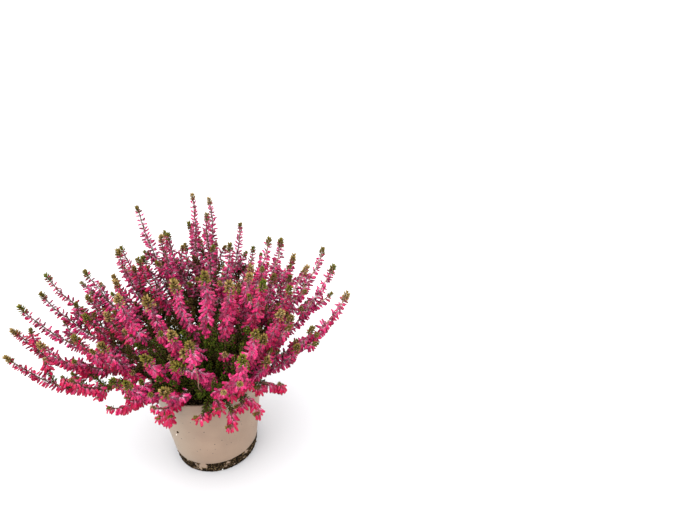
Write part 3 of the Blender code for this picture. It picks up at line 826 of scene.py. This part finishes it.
def pot_plastic():
    """Moulded polypropylene with mineral flour in it: taupe, matt and flecked with dark specks, and
    painted paler and greyer on the left as painted light. Soil is caked on by the mask that the mesh
    holds."""
    made, shader, add = finish_of("taupe_moulded_polypropylene", 0.5, 1.49)
    place = add("TexCoord", out="Object")
    cloud, grit, grain = (add("TexNoise", {"Vector": place, "Scale": 1 / (size * MM), "Detail": detail})
                          for size, detail in ((28, 3), (2, 4), (0.6, 2)))
    body = add("ValToRGB", {"Fac": cloud}, [(0.3, "897260"), (0.7, "957D69")])
    x = add("SeparateXYZ", {"Vector": place})
    # Painted light: the wall is painted a paler grey-taupe towards the left, where the light falls.
    side = add("MapRange", {"Value": x, "From Min": 0, "From Max": -50 * MM})
    painted_light_left = add("Mix", {"Factor": side, 6: body, 7: shade("988976")}, **RGBA)
    far, hue = (add("TexVoronoi", {"Vector": place, "Scale": 1 / (4 * MM)}, out=name)
                for name in ("Distance", "Color"))
    chance = add("SeparateColor", {"Color": hue})
    small = add("Math", {0: chance, 1: 0.36, 2: -0.18}, operation="MULTIPLY_ADD")
    spot = add("Math", {0: far, 1: small}, operation="LESS_THAN")
    flecked = add("Mix", {"Factor": spot, 6: painted_light_left, 7: shade("3E342A")}, **RGBA)
    mask = add("Attribute", out="Fac", attribute_name="soil")
    edge = add("Math", {0: grit, 1: mask}, operation="ADD")
    caked = add("MapRange", {"Value": edge, "From Min": 0.98, "From Max": 1.08})
    dirt = add("ValToRGB", {"Fac": grit}, [
        (0.42, "0A0704"), (0.52, "1A120B"), (0.58, "43341F"), (0.66, "77664C")])
    soiled = add("Mix", {"Factor": caked, 6: flecked, 7: dirt}, **RGBA)
    rough, gloss = (add("MapRange", {"Value": caked, "To Min": 0.5, "To Max": most})
                    for most in (0.95, 0.05))
    height = add("Math", {0: grain, 1: caked}, operation="ADD")
    bump = add("Bump", {"Height": height, "Strength": 0.25, "Distance": 0.3 * MM})
    feed(shader, {"Base Color": soiled, "Roughness": rough, "Specular IOR Level": gloss, "Normal": bump})
    return made


def moss_peat():
    """Moss peat: almost black when moist, matt, with brown fibres and grit."""
    made, shader, add = finish_of("moist_moss_peat", 0.92, 1.46, 0.1)
    place = add("TexCoord", out="Object")
    crumb = add("TexNoise", {"Vector": place, "Scale": 1 / (2.2 * MM), "Detail": 6})
    colour = add("ValToRGB", {"Fac": crumb}, [
        (0.3, "0E0906"), (0.5, "20170D"), (0.6, "4A3924"), (0.72, "86735A")])
    bump = add("Bump", {"Height": crumb, "Strength": 0.8, "Distance": MM})
    feed(shader, {"Base Color": colour, "Normal": bump})
    return made


# Helpers for objects and meshes.


def linked(name, data):
    """A new object of this data, in the scene."""
    made = bpy.data.objects.new(name, data)
    bpy.context.scene.collection.objects.link(made)
    return made


def piece(name, mesh, material, nodes):
    """An object of this mesh that rides on the plant and stands for these nodes."""
    mesh.name = name
    mesh.materials.append(material)
    made = linked(name, mesh)
    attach(made, "root")
    if nodes:
        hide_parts(*nodes)


def as_mesh(made):
    """The mesh that an object's bevel or modifiers make. The object goes."""
    bpy.context.view_layer.update()
    mesh = bpy.data.meshes.new_from_object(made.evaluated_get(bpy.context.evaluated_depsgraph_get()))
    bpy.data.objects.remove(made)
    mesh.shade_smooth()
    return mesh


def mesh_of(shape, sharp_angle=180):
    """The shape as a mesh, smooth up to this angle."""
    mesh = bpy.data.meshes.new("shape")
    shape.to_mesh(mesh)
    shape.free()
    mesh.shade_smooth()
    if sharp_angle < 180:
        mesh.set_sharp_from_angle(angle=math.radians(sharp_angle))
    return mesh


def add_tube(shape, chart, sides, rings):
    """Adds a closed tube about Z through rings of height, radius and place on the colour chart,
    in millimetres."""
    (z0, r0, first), (z1, r1, second) = rings[:2]
    made = bmesh.ops.create_cone(
        shape, cap_ends=True, segments=sides, radius1=r0 * MM, radius2=r1 * MM, depth=(z1 - z0) * MM,
        matrix=Matrix.Translation((0, 0, (z0 + z1) / 2 * MM)))["verts"]
    for corner in made:
        corner[chart] = first if corner.co.z < (z0 + z1) / 2 * MM else second
    end = max({face for corner in made for face in corner.link_faces},
              key=lambda face: face.calc_center_median().z)
    for (low, small, _), (high, large, value) in zip(rings[1:], rings[2:]):
        end = bmesh.ops.extrude_discrete_faces(shape, faces=[end])["faces"][0]
        bmesh.ops.scale(shape, verts=end.verts, vec=(large / small, large / small, 1))
        bmesh.ops.translate(shape, verts=end.verts, vec=(0, 0, (high - low) * MM))
        for corner in end.verts:
            corner[chart] = value
        made += end.verts
    bmesh.ops.remove_doubles(shape, verts=made, dist=3 * POINT * MM)


def bell_shape():
    """One bell flower along +Z: its stalk, its tube with the mouth turned in, sepals, anthers."""
    shape = bmesh.new()
    chart = shape.verts.layers.float.new("part")
    for sides, rings in ((BELL_SIDES, BELL_TUBE), (THIN_SIDES, BELL_STALK), (THIN_SIDES, BELL_ANTHERS)):
        add_tube(shape, chart, sides, rings)
    for number in range(SEPALS):
        turn = Matrix.Rotation(math.tau * (number + 0.5) / SEPALS, 4, "Z")
        lean = Matrix.Rotation(math.radians(SEPAL_LEAN), 4, "Y")
        flat = Matrix.Diagonal((SEPAL_FLAT, 1, 1, 1))
        place = turn @ Matrix.Translation((SEPAL_OUT * MM, 0, SEPAL_Z * MM)) @ lean @ flat
        blade = bmesh.ops.create_cone(
            shape, cap_ends=True, segments=THIN_SIDES, radius1=SEPAL_R * MM, radius2=0,
            depth=SEPAL_LENGTH * MM,
            matrix=place @ Matrix.Translation((0, 0, SEPAL_LENGTH / 2 * MM)))["verts"]
        low = min(corner.co.z for corner in blade)
        for corner in blade:
            corner[chart] = between(SEPAL_CHART, (corner.co.z - low) / (SEPAL_LENGTH * MM))
    return mesh_of(shape, 60)


def leaf_shape(rings):
    """One leaf along +Z, flattened."""
    shape = bmesh.new()
    chart = shape.verts.layers.float.new("part")
    add_tube(shape, chart, THIN_SIDES, rings)
    bmesh.ops.scale(shape, verts=shape.verts, vec=(1, LEAF_FLAT, 1))
    return mesh_of(shape)


def copies(shape, places, **values):
    """One mesh of the shape's copies, one at each place. Each value is given per copy."""
    whole = bmesh.new()
    for place in places:
        shape.transform(place)
        whole.from_mesh(shape, face_normals=False, vertex_normals=False)
        shape.transform(place.inverted())
    mesh = mesh_of(whole)
    for name, value in values.items():
        spread = mesh.attributes.new(name, "FLOAT", "POINT")
        spread.data.foreach_set("value", np.repeat(np.array(value, dtype=np.float32), len(shape.vertices)))
    return mesh


def standing(place, way, roll, size):
    """The matrix of a copy that stands at place along way, rolled about itself."""
    turn = way.to_track_quat("Z", "Y") @ Quaternion((0, 0, 1), roll)
    return Matrix.LocRotScale(place, turn, (size, size, size))


def any_way(draw, spread):
    """A vector to any side, as long as the spread or so."""
    return Vector([draw.gauss(0, spread) for _ in range(3)])


def round_stem(way, turn):
    """The way straight out of a stem at this turn about it: 90 degrees is its upper side."""
    side = way.cross(UP)
    side = side.normalized() if side.length > 0.05 else Vector((1, 0, 0))
    top = side.cross(way).normalized()
    angle = math.radians(turn)
    return side * math.cos(angle) + top * math.sin(angle)


# The plant.


def bloom_start(shoot):
    """How far along a shoot its bells start: further on upright ones, and low ones bear a bunch."""
    if shoot.node in BLOOM_FROM and shoot.leafy_share in (MAIN_LEAFY_SHARE, SIDE_LEAFY_SHARE):
        return shoot.length * BLOOM_FROM[shoot.node]
    if shoot.low():
        return shoot.length * LOW_BLOOM_FROM
    upright = held((shoot.rise() - UPRIGHT_RISE + UPRIGHT_RANGE * shoot.front()) / UPRIGHT_RANGE)
    share = 1 + (UPRIGHT_LEAFY * upright - LYING_BLOOM * shoot.lying()) / MAIN_LEAFY_SHARE
    return shoot.length * shoot.leafy_share * share


def bells_on(shoot, draw):
    """The bells of one shoot: their places, tones and depths."""
    start = bloom_start(shoot)
    end = shoot.length - TUFT_FREE[not shoot.low()] * TUFT_REAL_LENGTH
    front = shoot.front()
    behind = (1 - front) ** 2
    spacing, top_bare, droop = (between(pair, front) for pair in (BELL_SPACINGS, TOP_BARE, DROOPS))
    large = between((1, BACK_BELL), behind)
    dull = held(DULL - LESS_DULL_AT_FRONT * front + draw.uniform(*DULL_DRAW))
    deep = DEEP_AT_LEFT if shoot.points[-1][0] < 0 else DEEP_AT_RIGHT
    dull -= draw.uniform(0, deep) * (1 - abs(2 * front - 1))
    least_bell_light = LOW_BELL_LIGHT if shoot.low() else OTHER_BELL_LIGHT
    if shoot.low():
        spacing, top_bare, droop, large = LOW_BELLS
        dull = DEEPEST
    if shoot.node in BUNCHED and not shoot.parent:
        spacing, top_bare, droop, large = BUNCHED_BELLS
    found = []
    far, turn = start, draw.uniform(0, 360)
    while far < end:
        share = (far - start) / (end - start)
        crowd = 1 + BELL_CLUSTERS * noise.noise(shoot.place(far) / CLUSTER_SIZE)
        thin = 1 + SPARSE_START * (1 - min(1, 6 * share)) + BELL_THINNING * share * behind
        far += BELL_WHORL * spacing * draw.uniform(0.8, 1.2) * thin * crowd
        turn += WHORL_TURN + draw.uniform(-BELL_STRAY, BELL_STRAY)
        way = shoot.way(far)
        lean = math.sqrt(max(0, 1 - way.z**2))
        closing = BELL_CLOSING * share * behind
        for number in range(BELL_WHORL):
            around = turn + 360 * number / BELL_WHORL + draw.uniform(-BELL_STRAY, BELL_STRAY)
            out = round_stem(way, around)
            if draw.random() < top_bare * out.z:
                continue
            hang = out * (1 - closing) - UP * droop
            hang += way * (closing + draw.gauss(BELL_FORWARD * lean, BELL_ROUGH))
            hang += any_way(draw, 0.1)
            size = large * float(np.interp(share, BELL_SHARES, BELL_SIZES))
            place = shoot.place(far + draw.uniform(-0.6, 0.6) * MM) + out * 0.5 * MM
            # Painted shade: bells on a shoot's lower side are deepened towards crimson.
            tone = dull + draw.gauss(0, 0.25) - PAINTED_SHADE_BELOW * max(0, -out.z)
            tone -= DEEP_AT_TIP * share * (1 - front)
            matrix = standing(place, hang.normalized(), draw.uniform(0, math.tau),
                              size * draw.uniform(0.88, 1.12))
            # Each bell's depth sets its painted shade: darker at random, and less dark at the front.
            found.append((matrix, held(tone, -1), draw.uniform(least_bell_light, 0.8 + 0.2 * front)))
    return found


def whorls_on(shoot, start, end, whorls, tone, draw):
    """Whorls of leaves along a shoot from start to end: their places and tones."""
    spacing, count, spreads, size = whorls
    found = []
    far, turn = start, draw.uniform(0, 360)
    while far < end:
        share = (far - start) / max(end - start, MM)
        way = shoot.way(far)
        turn += WHORL_TURN
        for number in range(count):
            around = turn + 360 * number / count + draw.uniform(-LEAF_STRAY, LEAF_STRAY)
            out = round_stem(way, around)
            stray = draw.uniform(-SPREAD_STRAY, SPREAD_STRAY)
            spread = math.radians(between(spreads, share) + stray)
            lie = way * math.cos(spread) + out * math.sin(spread)
            place = shoot.place(far) + out * 0.4 * MM
            grown = size * draw.uniform(0.8, 1.15)
            # A leaf's flat side faces the stem.
            turned = lie.to_track_quat("Z", "Y")
            roll = math.atan2(*(turned.inverted() @ out).xy)
            found.append((standing(place, lie, -roll, grown), held(tone + draw.gauss(0, 0.09))))
        far += spacing * draw.uniform(0.85, 1.15)
    return found


def grown_twig(shoot, start, leave, arrive, end, leafy_share):
    """A twig of this shoot, along a line from start to end."""
    made = Shoot(shoot.node, smooth_line(start, leave, arrive, end), leafy_share, shoot)
    made.refine()
    return made


def twig(shoot, far, length, leafy_share, draw):
    """A short twig off a shoot, which leaves it at a slant and turns up a little."""
    start, way = shoot.place(far), shoot.way(far)
    out = round_stem(way, draw.uniform(0, 360 if way.z > STEEP else 180))
    leave = (way * TWIG_LEAVES[0] + out * TWIG_LEAVES[1]).normalized()
    ends = way * TWIG_ENDS[0] + out * TWIG_ENDS[1] + UP * TWIG_RISE
    end = start + ends.normalized() * length
    arrive = (end - start + UP * (TWIG_RISE * length)) * TWIG_HANDLES[1]
    return grown_twig(shoot, start, leave * length * TWIG_HANDLES[0], arrive, end, leafy_share)


def placed_twig(shoot, share, tip, leafy_share):
    """A listed twig, which leaves the shoot at this share of it."""
    start, end = shoot.place(share * shoot.length), tip_place(*tip)
    leave = shoot.way(share * shoot.length) * (end - start).length * TWIG_HANDLES[0]
    return grown_twig(shoot, start, leave, (end - start) * TWIG_HANDLES[1], end, leafy_share)


def grow_twigs(shoots):
    """The short twigs of all sprays. None goes into the pot or the peat."""
    mains = {shoot.node: shoot for shoot in shoots if not shoot.parent}
    found = [placed_twig(mains[f"spray_{number:02d}"], *values) for number, *values in PLACED_TWIGS]
    for shoot in shoots:
        if shoot.node.startswith("leafy"):
            continue
        draw = random.Random(f"{shoot.node} {bool(shoot.parent)}")
        stretch = FLOWER_TWIGS[1] - FLOWER_TWIGS[0]
        often = (TWIGS_BY_RISE - shoot.rise()) * between(TWIGS_BY_FRONT, shoot.front())
        count = int(shoot.length * stretch / FLOWER_TWIG_EVERY * often + draw.random())
        made = []
        for number in range(0 if shoot.low() or shoot.node in BLOOM_FROM else count):
            far = (FLOWER_TWIGS[0] + stretch * (number + draw.random()) / count) * shoot.length
            length = draw.uniform(*FLOWER_TWIG_LENGTHS) * MM
            made.append(twig(shoot, far, length, FLOWER_TWIG_LEAFY, draw))
        shares = LEAFY_TWIGS_ON_SIDE if shoot.parent else LEAFY_TWIGS_AT
        if shoot.lying() > LYING_FROM or shoot.points[-1][0] > FAR_RIGHT:
            shares = () if shoot.parent else LEAFY_TWIGS_ON_LYING
        for share in () if shoot.low() or shoot.node in (*BLOOM_FROM, *BUNCHED) else shares:
            length = draw.uniform(*LEAFY_TWIG_LENGTHS) * MM
            made.append(twig(shoot, share * shoot.length, length, 1, draw))
        for one in made:
            clear = np.minimum(off_pot(one.line)[0], over_peat(one.line))
            if clear[len(clear) // 2:].min() > TWIG_CLEAR:
                found.append(one)
    return found


def stems(shoots):
    """All stems as one piece: bevelled lines with a slight knot at each leaf scar."""
    curve = bpy.data.curves.new("stems", "CURVE")
    curve.dimensions = "3D"
    curve.bevel_depth = MM
    curve.bevel_resolution = 1
    curve.use_fill_caps = True
    draw = random.Random(SEED + 1)
    for shoot in shoots:
        line = shoot.line
        radii = SIDE_RADII if shoot.parent else MAIN_RADII
        if shoot.node == BARE_BELOW:
            radii = THIN_RADII
        radius = np.interp(shoot.far / shoot.length, STEM_SHARES, radii)
        if not shoot.parent:
            line = np.concatenate([[line[0] - (0, 0, STEM_BURIED)], line])
            radius = np.concatenate([radius[:1], radius])
        spline = curve.splines.new("POLY")
        spline.points.add(len(line) - 1)
        for point, place, size in zip(spline.points, line, radius):
            point.co = (*place, 1)
            point.radius = size * (1 + draw.uniform(-KNOT, KNOT))
    return as_mesh(linked("stem_lines", curve))


def dress(shoot, draw):
    """The bells, needles and broad leaves of one shoot."""
    bare = SIDE_BARE if shoot.parent else 0.5 * BARE_FOOT
    front = shoot.front()
    seen = front > SEEN_FROM or shoot.node.startswith("leafy")
    green = draw.uniform(*(FRONT_GREENS if seen else BACK_GREENS))
    if shoot.leafy_share == 1:
        return [], [], whorls_on(shoot, bare, shoot.length, LEAFY, green, draw)
    small = shoot.length < SMALL_SHOOT or shoot.low()
    size = draw.uniform(*TUFT_SIZES) * (SMALL_TUFT if small else between((BACK_TUFT, 1), front))
    start = bloom_start(shoot) + NEEDLES_PAST_BLOOM
    end = shoot.length - TUFT_REAL_LENGTH * size
    bells, needles, tufts = bells_on(shoot, draw), [], []
    if shoot.node == BARE_BELOW:
        start = shoot.length * BARE_FROM
    if shoot.low():
        tufts += whorls_on(shoot, bare, start, LOW_LEAVES, LOW_GREEN, draw)
    else:
        needles += whorls_on(shoot, bare, start, NEEDLES, green, draw)
    if not seen:
        needles += whorls_on(shoot, start, end, BRACTS, BRACT_TONE, draw)
    tuft = (TUFT_SPACING * size, TUFT_WHORL, TUFT_SPREADS, size)
    tufts += whorls_on(shoot, end, shoot.length + TUFT_PAST, tuft, draw.choice(TUFT_TONES), draw)
    return bells, needles, tufts


def make_plant():
    """Bark, needles, bells and tufts on every shoot."""
    petal, leaf, bark = bell_petal(), heath_leaf(), young_bark()
    kinds = [("bells", bell_shape(), petal, "flowers"), ("needles", leaf_shape(NEEDLE), leaf, "leaves"),
             ("tufts", leaf_shape(BROAD_LEAF), leaf, "leaves")]
    shoots = plan_shoots()
    bend_clear(shoots)
    for shoot in shoots:
        shoot.refine()
        if shoot.parent and shoot.node in LEAFY_SIDES:
            shoot.leafy_share = 1
    nodes = sorted({shoot.node for shoot in shoots})
    shoots += grow_twigs(shoots)
    piece("stems", stems(shoots), bark, nodes)
    for name in nodes:
        draw = random.Random(name)
        dressed = [dress(shoot, draw) for shoot in shoots if shoot.node == name]
        for (kind, shape, finish, slot), lists in zip(kinds, zip(*dressed)):
            found = [one for some in lists for one in some]
            if found:
                places, *values = zip(*found)
                mesh = copies(shape, places, **dict(zip(("tone", "depth"), values)))
                piece(f"{name}_{kind}", mesh, finish, [name])


# The pot and the peat.


def spun(outline):
    """A closed shape turned about the Z axis from an outline of radius and height."""
    shape = bmesh.new()
    corners = [shape.verts.new((r, 0, z)) for r, z in outline]
    for pair in zip(corners, corners[1:]):
        shape.edges.new(pair)
    bmesh.ops.spin(shape, geom=shape.verts[:] + shape.edges[:], cent=(0, 0, 0), axis=(0, 0, 1),
                   angle=math.tau, steps=POT_STEPS, use_merge=True)
    bmesh.ops.remove_doubles(shape, verts=shape.verts, dist=0.01 * MM)
    bmesh.ops.recalc_face_normals(shape, faces=shape.faces)
    return shape


def floor_outline(lift):
    """The pot's floor from the axis out to its foot, lift above its underside."""
    return [(0, lift), (CHANNEL_IN_R - CHANNEL_DEPTH, lift), (CHANNEL_IN_R, lift + CHANNEL_DEPTH),
            (CHANNEL_OUT_R, lift + CHANNEL_DEPTH), (CHANNEL_OUT_R + CHANNEL_DEPTH, lift)]


def soil_cover(azimuth, z):
    """How thickly soil is caked on the foot there: over half where it covers."""
    if z > SOIL_TOP:
        return 0
    off = abs((azimuth - SOIL_BARE_AZIMUTH + 180) % 360 - 180) / SOIL_BARE_HALF
    around = direction(azimuth, 90) * FOOT_R + UP * z
    patch = layered(around, SOIL_NOISE)
    edge = min(1, (SOIL_TOP - z) / SOIL_EDGE)
    low = max(0, 1 - z / SOIL_MORE_BELOW)
    return (SOIL_COVER + SOIL_PATCHES * patch - SOIL_BARE * max(0, 1 - off**2) + 0.2 * low) * edge


def foot_radius(z):
    """The foot's outer radius at height z."""
    return FOOT_R + LIP + (SHOULDER_R - SHOULDER_STEP - FOOT_R - LIP) * z / SHOULDER_Z


def foot_heights():
    """Heights close together up the foot, so that the soil's mask has corners to lie on."""
    low, high = LIP, SHOULDER_Z - 0.5 * SHOULDER_STEP
    return [low + (high - low) * k / 12 for k in range(13)]


def pot_mesh():
    """The pot: a thin turned shell with a rounded rim, a banded edge and a stepped-in foot."""
    band_z = POT_HEIGHT - BAND_HEIGHT
    outside = [(RIM_R - LIP, POT_HEIGHT), (RIM_R - 0.3 * LIP, POT_HEIGHT - 0.1 * LIP),
               (RIM_R, POT_HEIGHT - LIP), (RIM_R - 0.2 * MM, POT_HEIGHT - 2 * MM),
               (wall_radius(band_z) + BAND_STEP, band_z + 0.3 * MM),
               (wall_radius(band_z) + 0.5 * BAND_STEP, band_z),
               (wall_radius(band_z - BAND_STEP), band_z - BAND_STEP)]
    outside += [(wall_radius(z * MM), z * MM) for z in (84, 70, 56, 42, 28)]
    outside += [(wall_radius(SHOULDER_Z + 0.5 * MM), SHOULDER_Z + 0.5 * MM),
                (SHOULDER_R - 0.15 * MM, SHOULDER_Z)]
    outside += [(foot_radius(z), z) for z in reversed(foot_heights())]
    outside += [(FOOT_R + 0.2 * LIP, 0.3 * LIP), (FOOT_R - 0.3 * LIP, 0)]
    inside = [(FOOT_R - WALL, WALL), (wall_radius(POT_HEIGHT) - WALL, POT_HEIGHT - 0.3 * LIP),
              (wall_radius(POT_HEIGHT) - 0.8 * WALL, POT_HEIGHT)]
    return drained(mesh_of(spun(floor_outline(WALL) + inside + outside + floor_outline(0)[::-1])))


def drained(mesh):
    """The shell with its drain holes cut."""
    tool = bmesh.new()
    middle_r = (CHANNEL_IN_R + CHANNEL_OUT_R) / 2
    for number in range(DRAIN_HOLES):
        place = direction(math.degrees((number + 0.5) * math.tau / DRAIN_HOLES), 90) * middle_r
        bmesh.ops.create_cone(tool, cap_ends=True, segments=32, radius1=DRAIN_R, radius2=DRAIN_R,
                              depth=20 * MM, matrix=Matrix.Translation(place))
    holes, shell = linked("holes", mesh_of(tool)), linked("shell", mesh)
    cut = shell.modifiers.new("Drained", "BOOLEAN")
    cut.operation = "DIFFERENCE"
    cut.object = holes
    cut.solver = "EXACT"
    whole = as_mesh(shell)
    bpy.data.objects.remove(holes)
    whole.materials.clear()
    whole.set_sharp_from_angle(angle=math.radians(40))
    return whole


def make_pot():
    """The pot, with the mask of its soil on its corners."""
    mesh = pot_mesh()
    mask = mesh.attributes.new("soil", "FLOAT", "POINT")
    covers = []
    for corner in mesh.vertices:
        azimuth = math.degrees(math.atan2(corner.co.y, corner.co.x))
        outer = corner.co.xy.length > FOOT_R - 0.5 * MM
        covers.append(soil_cover(azimuth, corner.co.z) if outer else 0)
    mask.data.foreach_set("value", covers)
    piece("pot_shell", mesh, pot_plastic(), ["pot"])


def crumb_shape():
    """A lump of peat or soil, one millimetre across."""
    shape = bmesh.new()
    bmesh.ops.create_icosphere(shape, subdivisions=1, radius=0.5 * MM)
    for corner in shape.verts:
        corner.co *= 1 + CRUMB_ROUGH * noise.noise(corner.co * CRUMB_WAVES)
    return mesh_of(shape, 40)


def crumb_at(place, size, draw):
    """The matrix of a crumb, turned and squeezed at random."""
    turn = Quaternion(any_way(draw, 1).normalized(), draw.uniform(0, math.tau))
    return Matrix.LocRotScale(place, turn, [size * draw.uniform(0.6, 1.4) for _ in range(3)])


def on_wall(mark):
    """The place of a mark on the pot's outside, from its azimuth and height."""
    azimuth, z = mark[:2]
    out = wall_radius(z) if z > SHOULDER_Z else foot_radius(z)
    return direction(azimuth, 90) * out + UP * z


def make_soil(crumb, peat):
    """Crumbs of soil stuck in the step of the foot."""
    draw = random.Random(SEED + 2)
    places = []
    while len(places) < SOIL_CRUMBS:
        azimuth, z = draw.uniform(-180, 180), draw.uniform(0.6 * MM, SOIL_TOP)
        if soil_cover(azimuth, z) < SOIL_SEEN:
            continue
        size = draw.uniform(0.5, 1.8)
        place = direction(azimuth, 90) * (foot_radius(z) + 0.1 * size * MM)
        place.z = max(z, 0.75 * size * MM)
        places.append(crumb_at(place, size, draw))
    places.append(crumb_at(on_wall(CHIP), CHIP[2], draw))
    piece("foot_soil", copies(crumb, places), peat, [])
    grain = copies(crumb, [crumb_at(on_wall(GRAIN), GRAIN[2], draw)])
    piece("perlite_grain", grain, plain("white_perlite", "F2F0EA", 0.8), [])


def make_scuff():
    """A pale burr where the wall was scratched."""
    turn = Quaternion((0, 0, 1), math.radians(SCUFF[0] + 90))
    lean = Quaternion((0, 1, 0), math.radians(SCUFF_LEAN))
    shape = bmesh.new()
    bmesh.ops.create_icosphere(shape, subdivisions=2, radius=0.5,
                               matrix=Matrix.LocRotScale(on_wall(SCUFF), turn @ lean, SCUFF_SIZE))
    piece("wall_scuff", mesh_of(shape), plain("pale_scuffed_plastic", "E6E0D4", 0.6), [])


def inner_radius(z):
    """The peat's radius at height z, a little inside the wall."""
    return wall_radius(z) - WALL - GAP


def mound_z(share):
    """The height of the peat's mound at this share of the way from its middle to its edge."""
    return PEAT_Z + PEAT_MOUND * (1 - share**2)


def peat_mesh():
    """The peat: a plug with a mounded, crumbly top."""
    top_r = inner_radius(PEAT_Z)
    top = [(top_r * k / PEAT_RINGS, mound_z(k / PEAT_RINGS)) for k in range(PEAT_RINGS + 1)]
    shape = spun(top + [(inner_radius(PEAT_BOTTOM), PEAT_BOTTOM), (0, PEAT_BOTTOM)])
    for corner in shape.verts:
        if corner.co.z > PEAT_Z - 0.1 * MM:
            corner.co.z += layered(corner.co, PEAT_NOISE)
    return mesh_of(shape, 60)


def make_peat(crumb, peat):
    """The peat's plug, and the loose crumbs on it."""
    piece("peat_plug", peat_mesh(), peat, ["peat"])
    draw = random.Random(SEED + 3)
    top_r = inner_radius(PEAT_Z)
    places = []
    for _ in range(PEAT_CRUMBS):
        out = (top_r - 1.5 * MM) * math.sqrt(draw.random())
        size = draw.uniform(0.8, 3)
        z = mound_z(out / top_r) + 0.1 * size * MM
        place = direction(draw.uniform(0, 360), 90) * out + UP * z
        places.append(crumb_at(place, size, draw))
    piece("peat_crumbs", copies(crumb, places), peat, [])


# The stage. The camera stands where it stood for the photo.

CAMERA_PLACE = (0.1563, -0.4934, 0.5081)
CAMERA_TILT = 61.61
CAMERA_LENS = 29.32
CAMERA_SENSOR = 36
ROOM_LIGHT = 1.75
BOX_LIGHT = 2.6
BOX_ANGLE = 70
BOX_WAY = (0.2, 0.3, -1.0)
FLOOR_SIZE = 15


def stage():
    """A white floor and room, one large soft light over the left front, and the camera."""
    scene = bpy.context.scene
    scene.view_settings.view_transform = "Standard"
    shape = bmesh.new()
    bmesh.ops.create_grid(shape, x_segments=1, y_segments=1, size=FLOOR_SIZE)
    floor = linked("floor", mesh_of(shape))
    floor.data.materials.append(plain("white_studio_floor", "C8C8CA", 0.9))
    scene.world = bpy.data.worlds.new("white_room")
    scene.world.use_nodes = True
    sky = scene.world.node_tree.nodes["Background"]
    feed(sky, {"Color": shade("FFFFFF"), "Strength": ROOM_LIGHT})
    lamp = bpy.data.lights.new("soft_box", "SUN")
    lamp.angle = math.radians(BOX_ANGLE)
    lamp.energy = BOX_LIGHT
    linked("soft_box", lamp).rotation_euler = Vector(BOX_WAY).to_track_quat("-Z", "Y").to_euler()
    lens = bpy.data.cameras.new("camera")
    lens.lens = CAMERA_LENS
    lens.sensor_width = CAMERA_SENSOR
    camera = linked("camera", lens)
    camera.location = CAMERA_PLACE
    camera.rotation_euler = (math.radians(CAMERA_TILT), 0, 0)
    scene.camera = camera


stage()
make_pot()
peat_finish = moss_peat()
crumb = crumb_shape()
make_soil(crumb, peat_finish)
make_scuff()
make_peat(crumb, peat_finish)
make_plant()
